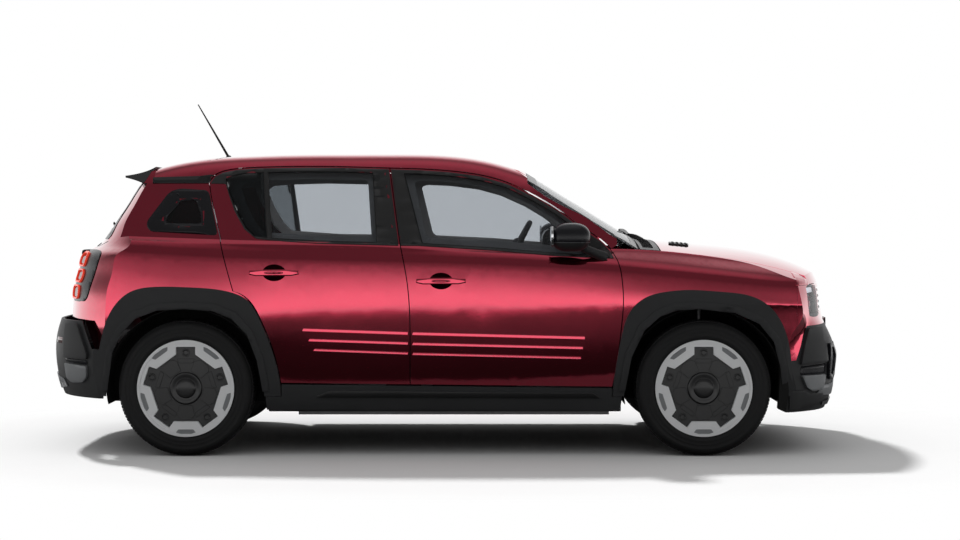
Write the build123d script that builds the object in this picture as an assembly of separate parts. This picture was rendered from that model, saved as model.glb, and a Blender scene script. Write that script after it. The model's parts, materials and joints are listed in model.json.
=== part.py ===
"""Electric crossover: five-door body, running gear and cabin as separate pieces."""
from build123d import *
import math
import os

import numpy as np

os.makedirs("parts", exist_ok=True)

# Frame: +X forward, +Z up, origin on the ground under the middle of the car.
FRONT_AXLE_X = 1323.0
REAR_AXLE_X = -1302.0
TYRE_RADIUS = 345.0
TYRE_WIDTH = 195.0
RIM_RADIUS = 246.0
WHEEL_Y = 776.0
WHEELHOUSE_RADIUS = 404.0
KNUCKLE_LOW = (756.0, 190.0)
KNUCKLE_HIGH = (600.0, 850.0)
STRUT_FOOT = (674.0, 330.0)
STRUT_BALL = 14.0
BALL = 14.0
BALL_PIN = 8.0
HUB_FACE = 816.0
SKIN = 14.0
DOOR_DEPTH = 58.0
SHUT_GAP = 5.0
SEAT_GAP = 0.3
TRIM_PROUD = 12.0
GLASS = 5.0
FLOOR_TOP = 315.0
FIREWALL_X = 914.7
BATTERY_LOW = 186.0
BONNET_REAR = 1118.0
BONNET_SKIN = 20.0
TAILGATE_SPLIT = -1502.0
TAILGATE_LOW = 693.0
TAILGATE_HALF = 446.0
TAILGATE_WIDE = 586.0
BUMPER_LINE = 607.0
SCREEN_FOOT = (1015.0, 1099.0)
SCREEN_HEAD = (437.0, 1463.0)
PANE_HEAD = (437.0, 1455.0)
SCREEN_RADIUS = 4700.0
SEAT_X = 170.0
SEAT_Y = 350.0
WHEEL_AT = (392.0, 370.0, 1032.0)


def natural_spline(points):
    """Return a function through points given as (x, value)."""
    xs = np.array([p[0] for p in points], float)
    ys = np.array([p[1] for p in points], float)
    count = len(xs)
    steps = np.diff(xs)
    matrix = np.eye(count)
    right = np.zeros(count)
    for i in range(1, count - 1):
        matrix[i, i - 1:i + 2] = (steps[i - 1], 2 * (steps[i - 1] + steps[i]), steps[i])
        right[i] = 6 * ((ys[i + 1] - ys[i]) / steps[i] - (ys[i] - ys[i - 1]) / steps[i - 1])
    bend = np.linalg.solve(matrix, right)

    def value(x):
        if x < xs[0]:
            slope = (ys[1] - ys[0]) / steps[0] - steps[0] * bend[1] / 6
            return float(ys[0] + slope * (x - xs[0]))
        if x > xs[-1]:
            slope = (ys[-1] - ys[-2]) / steps[-1] + steps[-1] * bend[-2] / 6
            return float(ys[-1] + slope * (x - xs[-1]))
        i = int(min(max(np.searchsorted(xs, x) - 1, 0), count - 2))
        step = steps[i]
        left = xs[i + 1] - x
        ahead = x - xs[i]
        cubic = (bend[i] * left ** 3 + bend[i + 1] * ahead ** 3) / (6 * step)
        linear = (ys[i] / step - bend[i] * step / 6) * left
        return float(cubic + linear + (ys[i + 1] / step - bend[i + 1] * step / 6) * ahead)

    return value


# Height of the shoulder crease, of the shoulder's inner edge and of the bonnet's centre line.
crease_z = natural_spline([(-1900, 1095), (-1700, 1084), (-1025, 1047), (-317, 1027), (857, 976),
                           (1226, 943), (1497, 915), (1676, 895), (1850, 882), (2080, 874)])
shoulder_z = natural_spline([(-2000, 1130), (-1500, 1112), (-900, 1092), (-217, 1075), (270, 1052),
                             (600, 1048), (865, 1050), (1112, 1040), (1332, 1017), (1516, 995),
                             (1651, 980), (1781, 968), (1900, 960), (2080, 952)])
wing_z = natural_spline([(-2000, 1130), (-1500, 1112), (-900, 1092), (-217, 1075), (270, 1052),
                         (600, 1048), (865, 1050), (1112, 1040), (1332, 1017), (1516, 990),
                         (1651, 962), (1781, 926), (1900, 885), (2080, 820)])
shoulder_y = natural_spline([(-2000, 800), (-1500, 815), (-900, 826), (-217, 826), (270, 812),
                             (600, 790), (860, 748), (1112, 724), (1500, 722), (2080, 726)])
bonnet_z = natural_spline([(-2100, 1085), (0, 1090), (900, 1104), (1191, 1083), (1400, 1064),
                           (1612, 1040), (1758, 1013), (1857, 974), (1994, 915), (2100, 868)])
roof_z = natural_spline([(-2000, 1310), (-1700, 1398), (-1561, 1452), (-1480, 1484), (-1396, 1506), (-1132, 1537),
                         (-802, 1550), (-361, 1552), (-31, 1548), (189, 1524), (354, 1482),
                         (470, 1443), (700, 1375), (1300, 1220)])
cabin_y = natural_spline([(-2000, 690), (-1838, 716), (-1560, 766), (-1200, 804), (-900, 818),
                          (-217, 824), (270, 812), (600, 785), (860, 745), (1250, 640)])
front_reach = natural_spline([(0, 1960), (150, 1990), (250, 2034), (330, 2056), (450, 2066),
                              (560, 2064), (620, 2050), (700, 2040), (800, 2030), (870, 2013),
                              (950, 1975), (1100, 1870), (1250, 1770)])
bumper_reach = natural_spline([(0, 1970), (150, 1990), (250, 2012), (330, 2042), (450, 2068),
                               (560, 2070), (630, 2058), (700, 2034), (800, 1990), (1250, 1800)])
tail_reach = natural_spline([(0, 1970), (300, 1990), (600, 2000), (700, 2003), (780, 2001), (896, 1980),
                             (976, 1960), (1015, 1946), (1035, 1918), (1060, 1868), (1085, 1836),
                             (1130, 1804), (1200, 1760), (1395, 1627), (1600, 1490)])


def flare(x, z):
    """Outward swell of the side over the two wheels."""
    front = math.exp(-((x - FRONT_AXLE_X) / 420) ** 2)
    rear = math.exp(-((x - REAR_AXLE_X) / 420) ** 2)
    return 12 * (front + rear) * math.exp(-((z - 700) / 300) ** 2)


def side_taper(x):
    """How far the side draws in towards the ends."""
    return 80 * (max(0.0, abs(x) - 1300) / 600) ** 6


def side_rows(x):
    """Height and half width of the side at station x, from the sill to above the shoulder."""
    crease = crease_z(x)
    edge_z = shoulder_z(x)
    edge_y = shoulder_y(x)
    rows = [(120, 786), (250, 848), (400, 867), (580, 876), (755, 880)]
    rows += [(crease - 72, 877), (crease - 32, 872), (crease, 859)]
    rows += [((crease + edge_z) / 2 + 2, (859 + edge_y) / 2 + 4), (edge_z, edge_y)]
    rows += [(edge_z + 90, edge_y - 150)]
    return rows


def side_prism(inset):
    """Everything inboard of the right side's skin, out to past the centre plane."""
    grid = []
    for x in np.linspace(-2200, 2200, 27):
        line = []
        for z, half in side_rows(x):
            line.append(Vector(x, -(half + flare(x, z) - side_taper(x) - inset), z))
        grid.append(line)
    skin = Face.make_surface_from_array_of_points(grid, tol=0.3)
    return Solid.extrude(skin, Vector(0, 1000, 0))


def end_prism(reach, sign, bow, inset, heights):
    """Everything beyond an end surface, to be cut away; bow gives its sweep at a height and width."""
    grid = []
    for z in heights:
        line = []
        for y in np.linspace(-80, 1000, 13):
            x = reach(z) - bow(z, abs(y)) - inset
            line.append(Vector(sign * x, -y, z))
        grid.append(line)
    skin = Face.make_surface_from_array_of_points(grid, tol=0.3)
    return Solid.extrude(skin, Vector(sign * 700, 0, 0))


def nose_bow(z, y):
    """Sweep of the front: square at the bumper, round at the lamps."""
    rise = min(max((z - 560) / 160, 0.0), 1.0)
    share = rise * rise * (3 - 2 * rise)
    return (1 - share) * 190 * (y / 780) ** 5 + share * 180 * (y / 780) ** 2.1


def tail_bow(z, y):
    """Sweep of the tailgate and lamps, flatter at the glass."""
    rise = min(max((z - 1000) / 200, 0.0), 1.0)
    return (230 - 40 * rise) * (y / 800) ** 2.8


def bumper_bow(z, y):
    """Sweep of the rear bumper."""
    return 230 * (y / 800) ** 4


def nose_cut(inset):
    """Space ahead of the nose."""
    return end_prism(front_reach, 1, nose_bow, inset, np.linspace(0, 1250, 15))


def tail_cut(inset):
    """Space behind the tailgate and lamps."""
    heights = (0, 150, 300, 450, 600, 700, 800, 880, 940, 990, 1020, 1045, 1070, 1100, 1150, 1220,
               1300, 1380, 1460, 1550, 1650)
    return end_prism(tail_reach, -1, tail_bow, inset, heights)


def bumper_cut(inset):
    """Space behind the rear bumper."""
    return end_prism(bumper_reach, -1, bumper_bow, inset, np.linspace(0, 900, 13))


def lid_cut(inset):
    """Space above the bonnet and shoulders."""
    grid = []
    for x in np.linspace(-2200, 2200, 23):
        drop = bonnet_z(x) - wing_z(x)
        line = []
        for y in np.linspace(-80, 1000, 13):
            line.append(Vector(x, -y, bonnet_z(x) - inset - drop * (abs(y) / shoulder_y(x)) ** 2.3))
        grid.append(line)
    skin = Face.make_surface_from_array_of_points(grid, tol=0.3)
    return Solid.extrude(skin, Vector(0, 0, 700))


def right_of_centre():
    """Box that keeps the right half."""
    return Box(5000, 1200, 3000, align=(Align.CENTER, Align.MAX, Align.MIN))


def one(shape):
    """The single largest solid of a boolean result."""
    return max(shape.solids(), key=lambda s: s.volume)


def lower_half(inset, tail=tail_cut):
    """Right half of the lower body, inset from the skin."""
    body = one(side_prism(inset) & right_of_centre())
    body = one(body - nose_cut(inset))
    body = one(body - tail(inset))
    return one(body - lid_cut(inset))


def glasshouse_section(x, inset):
    """Upper body section at station x."""
    top = roof_z(x)
    eave = top - 98

    def side(z):
        rise = (z - 1050) / 400
        return cabin_y(x) - 122 * rise - 45 * rise ** 2

    points = []
    for share in (0, 0.25, 0.5, 0.75, 1):
        z = 960 + (eave - 960) * share
        points.append((side(z) - 1.06 * inset, z))
    edge = side(eave)
    for in_y, up, lean_y, lean_z in ((24, 37, 0.85, 0.5), (62, 66, 0.5, 0.85),
                                     (115, 81, 0.2, 0.97), (210, 90, 0.08, 1)):
        points.append((edge - in_y - lean_y * inset, eave + up - lean_z * inset))
    points += [(edge * 0.36, top - 3 - inset), (0, top - inset)]
    return [Vector(x, -y, z) for y, z in points]


def half_wire(points):
    """Close an open half section along the centre plane."""
    start = (points[1] - points[0]).normalized()
    curve = Edge.make_spline(points, tangents=[start, (0, 1, 0)])
    foot = Vector(points[0].X, 0, points[0].Z)
    return Wire([curve, Edge.make_line(points[-1], foot), Edge.make_line(foot, points[0])])


def screen_cylinder(inset, top=SCREEN_HEAD):
    """Everything below the windscreen's outer surface."""
    foot = Vector(SCREEN_FOOT[0], 0, SCREEN_FOOT[1])
    head = Vector(top[0], 0, top[1])
    slope = (head - foot).normalized()
    normal = Vector(slope.Z, 0, -slope.X)
    start = foot - slope * 2000 - normal * SCREEN_RADIUS
    return Solid.make_cylinder(SCREEN_RADIUS - inset, 4600, Plane(origin=start, z_dir=slope))


def glasshouse_half(inset):
    """Right half of the upper body, inset from the skin."""
    stations = range(-2000, 1251, 250)
    wires = [half_wire(glasshouse_section(x, inset)) for x in stations]
    body = one(Solid.make_loft(wires) & screen_cylinder(inset))
    return one(body - tail_cut(inset))


def body_half(inset):
    """Right half of the whole body, inset from the skin."""
    return one(lower_half(inset) + glasshouse_half(inset))


def wire_of(runs, place):
    """Closed wire from runs of 2-D points, each run a line or a smooth curve."""
    edges = []
    for run in runs:
        spots = [place(a, b) for a, b in run]
        edges.append(Edge.make_line(*spots) if len(spots) == 2 else Edge.make_spline(spots))
    return Wire(edges)


def plate(runs, low=-1100.0, high=0.0):
    """Solid across the car from a side outline."""
    face = Face(wire_of(runs, lambda x, z: Vector(x, low, z)))
    return Solid.extrude(face, Vector(0, high - low, 0))


def plan(runs, low=-100.0, high=1800.0):
    """Upright solid from a plan outline."""
    face = Face(wire_of(runs, lambda x, y: Vector(x, y, low)))
    return Solid.extrude(face, Vector(0, 0, high - low))


def facing(runs, low, high):
    """Solid along the car from an outline seen from the front."""
    face = Face(wire_of(runs, lambda y, z: Vector(low, y, z)))
    return Solid.extrude(face, Vector(high - low, 0, 0))


def block(x0, x1, y0, y1, z0, z1):
    """Box between two corners."""
    size = (abs(x1 - x0), abs(y1 - y0), abs(z1 - z0))
    middle = ((x0 + x1) / 2, (y0 + y1) / 2, (z0 + z1) / 2)
    return Solid.make_box(*size, Plane(origin=(middle[0] - size[0] / 2, middle[1] - size[1] / 2,
                                               middle[2] - size[2] / 2)))


def corners(points):
    """Closed outline of straight runs."""
    return [[points[i], points[(i + 1) % len(points)]] for i in range(len(points))]


def inset_runs(runs, depth):
    """Move a closed outline inwards."""
    area = sum(a[0] * b[1] - b[0] * a[1] for run in runs for a, b in zip(run, run[1:]))
    side = 1.0 if area > 0 else -1.0
    moved = []
    for run in runs:
        line = []
        for i, (px, pz) in enumerate(run):
            a = run[max(i - 1, 0)]
            b = run[min(i + 1, len(run) - 1)]
            dx, dz = b[0] - a[0], b[1] - a[1]
            size = math.hypot(dx, dz)
            line.append((px - side * depth * dz / size, pz + side * depth * dx / size))
        moved.append(line)
    for i, run in enumerate(moved):
        after = moved[(i + 1) % len(moved)]
        spot = crossing(run[-2], run[-1], after[0], after[1])
        run[-1] = spot
        after[0] = spot
    return moved


def crossing(a, b, c, d):
    """Point where the lines through a-b and c-d meet."""
    ux, uz = b[0] - a[0], b[1] - a[1]
    vx, vz = d[0] - c[0], d[1] - c[1]
    wedge = ux * vz - uz * vx
    if abs(wedge) < 1e-6 * math.hypot(ux, uz) * math.hypot(vx, vz) + 1e-9:
        return ((b[0] + c[0]) / 2, (b[1] + c[1]) / 2)
    share = ((c[0] - a[0]) * vz - (c[1] - a[1]) * vx) / wedge
    return (a[0] + share * ux, a[1] + share * uz)


def both(solid):
    """A right-hand solid and its left-hand mirror image."""
    return [solid, solid.mirror(Plane.XZ)]


def joined(*solids):
    """Fuse solids into one."""
    return one(solids[0].fuse(*solids[1:]))


def whole(solid):
    """Right half, cut at the centre plane, fused with its mirror image."""
    half = one(solid & right_of_centre())
    return joined(*both(half))


def save(node, *solids):
    """Write one node."""
    flat = []
    for item in solids:
        flat += item if isinstance(item, list) else [item]
    flat = [s for item in flat for s in item.solids()]
    export_step(flat[0] if len(flat) == 1 else Compound(children=flat), f"parts/{node}.step")


# Side outlines, as runs of (x, z).
FRONT_EDGE = [(858, 354), (884, 500), (901, 650), (911, 799), (906, 882), (890, 974), (853, 1047)]
FRONT_TOP = [(853, 1047), (808, 1093), (692, 1172), (592, 1248), (476, 1317), (333, 1387),
             (189, 1428), (20, 1450), (-120, 1459), (-274, 1463)]
PILLAR_LINE = [(-274, 1463), (-215, 1077)]
PILLAR_CURVE = [(-215, 1077), (-200, 1010), (-175, 867), (-165, 746), (-162, 600), (-162, 366)]
REAR_CURVE = [(x - SHUT_GAP, z) for x, z in reversed(PILLAR_CURVE)]
REAR_LINE = [(-220, 1077), (-279, 1463)]
REAR_TOP = [(-279, 1463), (-500, 1470), (-698, 1472), (-944, 1468), (-1068, 1460), (-1140, 1446),
            (-1180, 1424), (-1202, 1387)]
REAR_EDGE = [(-1202, 1387), (-1172, 1250), (-1135, 1122), (-1088, 950), (-1056, 838)]
REAR_ARCH_EDGE = [(-1056, 838), (-979, 797), (-918, 698), (-853, 532), (-818, 374)]
FRONT_DOOR = [FRONT_EDGE, FRONT_TOP, PILLAR_LINE, PILLAR_CURVE, [(-162, 366), (858, 354)]]
REAR_DOOR = [REAR_CURVE, REAR_LINE, REAR_TOP, REAR_EDGE, REAR_ARCH_EDGE, [(-818, 374), (-167, 366)]]
FRONT_WINDOW = [[(812, 1014), (557, 1030), (270, 1055), (-133, 1080), (-192, 1082)],
                [(-192, 1082), (-244, 1438)],
                [(-244, 1438), (-120, 1435), (20, 1426), (182, 1404), (325, 1364), (464, 1295),
                 (580, 1226), (678, 1151), (797, 1060)],
                [(797, 1060), (812, 1014)]]
REAR_WINDOW = [[(-960, 1114), (-888, 1106), (-645, 1091), (-400, 1083), (-250, 1082)],
               [(-250, 1082), (-303, 1440)],
               [(-303, 1440), (-500, 1446), (-698, 1448), (-944, 1443), (-1060, 1434), (-1122, 1412)],
               [(-1122, 1412), (-1112, 1366), (-1060, 1247), (-1005, 1155), (-960, 1114)]]
QUARTER_WINDOW = [[(-1432, 1209), (-1400, 1258), (-1345, 1303)],
                  [(-1345, 1303), (-1274, 1308), (-1246, 1302)],
                  [(-1246, 1302), (-1229, 1224), (-1226, 1172)],
                  [(-1226, 1172), (-1320, 1165), (-1428, 1172)],
                  [(-1428, 1172), (-1432, 1209)]]
FRONT_ARCH_OUTER = [[(862, 300), (864, 346), (898, 580), (952, 742), (1042, 814), (1131, 836),
                     (1240, 845), (1401, 836), (1581, 805), (1671, 742), (1734, 634), (1770, 454),
                     (1776, 300)], [(1776, 300), (862, 300)]]
FRONT_ARCH_INNER = [[(918, 230), (920, 327), (952, 508), (1016, 642), (1096, 714), (1177, 745),
                     (1293, 752), (1475, 733), (1601, 677), (1676, 583), (1712, 453), (1726, 330),
                     (1728, 230)], [(1728, 230), (918, 230)]]
REAR_ARCH_OUTER = [[(-1772, 300), (-1768, 420), (-1740, 539), (-1695, 697), (-1644, 780),
                    (-1576, 835), (-1443, 861), (-1277, 858), (-1067, 832), (-984, 791),
                    (-925, 697), (-859, 530), (-824, 380), (-820, 300)], [(-820, 300), (-1772, 300)]]
REAR_ARCH_INNER = [[(-1708, 230), (-1704, 360), (-1670, 529), (-1620, 630), (-1550, 703),
                    (-1440, 744), (-1302, 752), (-1160, 742), (-1062, 703), (-984, 620),
                    (-935, 488), (-908, 360), (-904, 230)], [(-904, 230), (-1708, 230)]]


POST_DROP = 6.0               # the middle post's waist lies this far under the doors' shoulders
B_POST = corners([(-110, 340.5), (-290, 340.5), (-300, 1440), (-225, 1440), (-120, 1000)])
C_POST = corners([(-996, 790), (-1130, 790), (-1290, 1385), (-1222, 1385), (-1190, 1250), (-1112, 1040)])
STRIKER = 5.0
FRONT_CATCH = (-135, 832)
FRONT_CATCH_Z = 700
REAR_CATCH = (-1020, 832)
REAR_CATCH_Z = 860
FRONT_GRIP = (-8, 890)
REAR_GRIP = (-851, 932)
FRONT_RIBS = [((-155, 622), (719, 600), 15), ((-155, 571), (709, 550), 12), ((-155, 520), (699, 499), 10)]
REAR_RIBS = [((-175, 623), (-710, 641), 15), ((-175, 573), (-679, 590), 12), ((-175, 522), (-654, 540), 10)]


def inner_post(inner, outline, catch, height, room, drop):
    """Pillar inboard of the doors, with the striker that a door's latch closes on."""
    pillar = one(inner & plate(outline).moved(Location((0, 0, drop))))
    post = one(pillar - pillar.moved(Location((0, 45, 0)))).moved(Location((0, room, -drop)))
    x, y = catch
    bar = Solid.make_cylinder(STRIKER, 44, Plane(origin=(x, -y, height - 22), z_dir=(0, 0, 1)))
    legs = [block(x - STRIKER, x + STRIKER, -y, -y + 56, z - 4, z + 4) for z in (height - 17, height + 17)]
    return joined(post, bar, *legs)


def latch_slot(catch, height):
    """Slot in a door that leaves the striker free to come out inwards."""
    x, y = catch
    return block(x - STRIKER - 0.7, x + STRIKER + 2, -y - STRIKER - 0.7, -y + 60, height - 26, height + 26)


def handle(x, z):
    """Bar of a door handle, bridging its recess."""
    y = -878.0
    bar = loft([Plane(origin=(x + a, y - b, z), z_dir=(1, 0, 0)) * RectangleRounded(w, h, r)
                for a, b, w, h, r in ((-125, 0, 20, 14, 5), (-80, 14, 22, 26, 9), (0, 20, 20, 30, 9),
                                      (80, 14, 22, 26, 9), (125, 0, 20, 14, 5))])
    return one(bar)


def recess(x, z):
    """Dish behind a door handle."""
    dish = scale(Solid.make_sphere(60), by=(1, 0.5, 0.72))
    return one(dish.moved(Location((x, -885, z))))


def rib(front, rear, height):
    """Raised strip along a door between two (x, z) points."""
    section = [(-862, -height * 0.5), (-884, -height * 0.5), (-889, -height * 0.1), (-862, height * 1.1)]
    face = Face(Wire.make_polygon([Vector(front[0], y, front[1] + z) for y, z in section], close=True))
    return Solid.extrude(face, Vector(rear[0] - front[0], 0, rear[1] - front[1]))


def door_shell(outline, window, skin, core, catch, height, grip, strips):
    """Outer skin and inner box of a door, with window, handle and ribs."""
    outer = one(skin & plate(outline))
    inner = one(core & plate(inset_runs(outline, 12)))
    shell = one(one(outer.fuse(inner)) - recess(*grip))
    shell = joined(shell, handle(*grip), *[rib(*strip) for strip in strips])
    return one(shell - plate(window) - latch_slot(catch, height))


def wheel_centre(axle_x, side):
    """Centre of one wheel; side is -1 on the right."""
    return Vector(axle_x, side * WHEEL_Y, TYRE_RADIUS)


def turned(profile, centre):
    """Solid of revolution about an axle; profile is (offset along Y, radius) points."""
    spots = [Vector(centre.X, centre.Y + a, centre.Z + r) for a, r in profile]
    face = Face(Wire.make_polygon(spots, close=True))
    axis = Axis(origin=(centre.X, centre.Y, centre.Z), direction=(0, 1, 0))
    return Solid.revolve(face, 360, axis)


def tyre(axle_x, side):
    """Tyre as a ring with rounded shoulders."""
    half = TYRE_WIDTH / 2
    r = TYRE_RADIUS
    inner = RIM_RADIUS + SEAT_GAP
    profile = [(-half + 12, inner), (-half + 1, inner + 12), (-half - 0, 292), (-half + 3, 318),
               (-half + 12, 334), (-half + 28, 343), (-40, r), (40, r), (half - 28, 343),
               (half - 12, 334), (half - 3, 318), (half, 292), (half - 1, inner + 12),
               (half - 12, inner), (half - 30, inner - 0), (-half + 30, inner)]
    return turned(profile, wheel_centre(axle_x, side))


def star(size, half, reach):
    """Pentagon with a square arm on every corner, as (x, z) points."""
    points = []
    foot = size / math.cos(math.pi / 5) - half / math.tan(math.radians(54))
    for k in range(5):
        angle = math.radians(90 + 72 * k)
        ux, uz = math.cos(angle), math.sin(angle)
        for along, across in ((foot, half), (reach, half), (reach, -half), (foot, -half)):
            points.append((along * ux + across * uz, along * uz - across * ux))
    return points


def rim(axle_x, side):
    """Wheel: barrel, flange and a face with a star-shaped pocket round a plain cap."""
    centre = wheel_centre(axle_x, side)
    out = side
    barrel = turned([(-95, RIM_RADIUS), (95, RIM_RADIUS), (95, RIM_RADIUS - 14),
                     (-95, RIM_RADIUS - 14)], centre)
    face = turned([(out * (HUB_FACE - WHEEL_Y), 0), (out * 86, 0), (out * 86, 44), (out * 78, 50),
                   (out * 78, 76), (out * 86, 80), (out * 91, 160), (out * 91, RIM_RADIUS - 13),
                   (out * 58, RIM_RADIUS - 13), (out * 52, 150), (out * 40, 90)], centre)
    spots = [Vector(centre.X + a, centre.Y + out * 76, centre.Z + b) for a, b in star(168, 49, 211)]
    pocket = Solid.extrude(Face(Wire.make_polygon(spots, close=True)), Vector(0, out * 60, 0))
    core = Solid.make_cylinder(78, 200, Plane(origin=centre - Vector(0, 100, 0), z_dir=(0, 1, 0)))
    return joined(barrel, one(one(face) - one(pocket - core)))


def wheelhouse(axle_x, inner_y, radius):
    """Round space about one wheel on the right."""
    base = Plane(origin=(axle_x, -1000, TYRE_RADIUS), z_dir=(0, 1, 0))
    return Solid.make_cylinder(radius, 1000 + inner_y, base)


def liner(axle_x, inner_y, room, hole):
    """Thin wheelhouse shell on the right: an arch and its inner wall."""
    outer = wheelhouse(axle_x, inner_y + 4, WHEELHOUSE_RADIUS + 4)
    shell = one(outer - wheelhouse(axle_x, inner_y, WHEELHOUSE_RADIUS))
    shell = one(shell & block(axle_x - 420, axle_x + 420, -900, -300, 262, 800))
    return one(one(shell & room) - hole)


def arch_trim(proud, near, depth, outer, inner):
    """Arch trim on the right: a proud band and a lip that turns into the arch."""
    band = one(one(proud & plate(outer)) - plate(inner))
    lip = one(one(depth & plate(inset_runs(inner, -16))) - plate(inner))
    return one(band.fuse(lip) & block(-3000, 3000, -1100, 0, near, 1000))


def fender(skin):
    """Front fender on the right."""
    edge = [(x + SHUT_GAP, z) for x, z in FRONT_EDGE]
    outline = [edge, [edge[-1], (edge[-1][0], 1200)], [(edge[-1][0], 1200), (1796, 1200)],
               [(1796, 1200), (1796, BUMPER_LINE + 0.9)],
               [(1796, BUMPER_LINE + 0.9), (1690, BUMPER_LINE + 0.9)],
               [(1690, BUMPER_LINE + 0.9), (1690, 354)], [(1690, 354), edge[0]]]
    piece = one(skin & plate(outline))
    piece = one(piece - plate(inset_runs(FRONT_ARCH_INNER, -17)))
    piece = one(piece - plate(inset_runs(side_frame_runs(), -0.5)))
    piece = one(piece - block(800, 2000, -900, 0, 300, 372))
    return one(piece - plan(BONNET_PLAN))


BONNET_PLAN = [[(840, -748), (1000, -733), (1118, -726), (1500, -716), (1750, -700), (1900, -672), (2100, -610)],
               [(2100, -610), (2100, 10)], [(2100, 10), (840, 10)], [(840, 10), (840, -748)]]


def bonnet(lid_skin):
    """Bonnet: skin with a shallow frame under it."""
    outline = inset_runs(BONNET_PLAN, SHUT_GAP)
    panel = one(lid_skin & plan(outline))
    front = plate(corners([(BONNET_REAR, 700), (BONNET_REAR, 1300), (2100, 1300), (2100, 868),
                           (1800, 868), (1700, 800)]))
    return one(panel & front)


def tailgate_plan(margin):
    """Outline of the tailgate seen from behind, right half: narrow between the lamps, wide above."""
    low = TAILGATE_LOW + margin
    waist = TAILGATE_HALF - margin
    wide = TAILGATE_WIDE - margin
    return [[(-waist, low), (-waist, 1054 + margin)], [(-waist, 1054 + margin), (-wide, 1090 + margin)],
            [(-wide, 1090 + margin), (-wide + 6, 1200), (-wide + 42, 1400), (-wide + 54, 1600)],
            [(-wide + 54, 1600), (0, 1600)], [(0, 1600), (0, low)], [(0, low), (-waist, low)]]


GATE_GLASS = [[(-520, 1128), (-528, 1156), (-500, 1330), (-470, 1384)],
              [(-470, 1384), (-240, 1392), (20, 1394)], [(20, 1394), (20, 1118)],
              [(20, 1118), (-300, 1120), (-520, 1128)]]


def mirror_housing():
    """Door mirror on the right, with its foot on the door."""
    shell = Box(180, 176, 130)
    shell = fillet(shell.edges(), 52)
    shell = shell.moved(Location((648, -920, 1116), (0, 6, 8)))
    arm = Solid.make_cylinder(22, 150, Plane(origin=(700, -880, 1076), z_dir=(0.78, 0.38, -0.5)))
    return joined(one(shell), arm)


def knuckle():
    """Right front knuckle with strut, ball pin, hub and brake disc."""
    x = FRONT_AXLE_X
    ball = Vector(x, -KNUCKLE_LOW[0], KNUCKLE_LOW[1])
    top = Vector(x, -KNUCKLE_HIGH[0], KNUCKLE_HIGH[1] - STRUT_BALL - 1)
    line = (top - Vector(x, -STRUT_FOOT[0], STRUT_FOOT[1])).normalized()
    foot = Vector(x, -STRUT_FOOT[0], STRUT_FOOT[1])
    tube = Solid.make_cylinder(26, 330, Plane(origin=foot, z_dir=line))
    rod = Solid.make_cylinder(11, (top - foot).length, Plane(origin=foot, z_dir=line))
    cap = Solid.make_sphere(STRUT_BALL).moved(Location(top))
    carrier = block(x - 40, x + 40, -745, -640, 300, 430)
    leg = block(x - 25, x + 25, -770, -725, 218, 320)
    kingpin = (Vector(x, -KNUCKLE_HIGH[0], KNUCKLE_HIGH[1]) - ball).normalized()
    pin = Solid.make_cylinder(BALL_PIN, 60, Plane(origin=ball, z_dir=kingpin))
    hub = Solid.make_cylinder(34, HUB_FACE - 740 - SEAT_GAP,
                              Plane(origin=(x, -740, TYRE_RADIUS), z_dir=(0, -1, 0)))
    disc = Solid.make_cylinder(150, 20, Plane(origin=(x, -784, TYRE_RADIUS), z_dir=(0, -1, 0)))
    return joined(tube, rod, cap, carrier, leg, pin, Solid.make_sphere(BALL).moved(Location(ball)), hub, disc)


def lower_arm():
    """Right lower arm with the socket for the knuckle's ball."""
    x = FRONT_AXLE_X
    ball = Vector(x, -KNUCKLE_LOW[0], KNUCKLE_LOW[1])
    arm = block(x - 33, x + 33, -740, -360, 178, 206)
    cup = Solid.make_cylinder(22, 24, Plane(origin=ball - Vector(0, 0, 18), z_dir=(0, 0, 1)))
    hollow = Solid.make_sphere(BALL + 0.4).moved(Location(ball))
    kingpin = (Vector(x, -KNUCKLE_HIGH[0], KNUCKLE_HIGH[1]) - ball).normalized()
    way = Solid.make_cylinder(BALL_PIN + 1.5, 60, Plane(origin=ball, z_dir=kingpin))
    return one(joined(arm, cup) - hollow - way)


def seat(x, y):
    """One front seat as plain cushions."""
    base = Box(500, 510, 150, align=(Align.CENTER, Align.CENTER, Align.MIN))
    base = fillet(base.edges().filter_by(Axis.Z), 60).moved(Location((x, y, 440)))
    back = Box(130, 500, 620, align=(Align.CENTER, Align.CENTER, Align.MIN))
    back = fillet(back.edges().filter_by(Axis.X), 90).moved(Location((x - 235, y, 560), (0, -20, 0)))
    head = Box(100, 260, 170)
    head = fillet(head.edges().filter_by(Axis.X), 50).moved(Location((x - 468, y, 1235), (0, -14, 0)))
    post = block(x - 480, x - 440, y - 60, y + 60, 1100, 1200)
    rail = block(x - 220, x + 200, y - 190, y + 190, FLOOR_TOP + SEAT_GAP, 450)
    return joined(one(base), one(back), rail, post, one(head))


def side_frame_runs():
    """Side outline of the pillar and roof rail strip above the doors."""
    return [[(-1496, 1390), (-1207, 1390)],
            [(-1207, 1390), (-1184, 1430), (-1142, 1452), (-1068, 1466), (-944, 1474),
             (-698, 1478), (-500, 1476), (-276, 1469), (-120, 1465), (20, 1456), (189, 1434),
             (335, 1393), (478, 1323), (594, 1254), (694, 1178), (812, 1098), (861, 1052)],
            [(861, 1052), (892, 1070)],
            [(892, 1070), (890, 1110)], [(890, 1110), (700, 1250), (477, 1400), (330, 1480)],
            [(330, 1480), (330, 1700)], [(330, 1700), (-1496, 1700)], [(-1496, 1700), (-1496, 1390)]]


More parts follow.
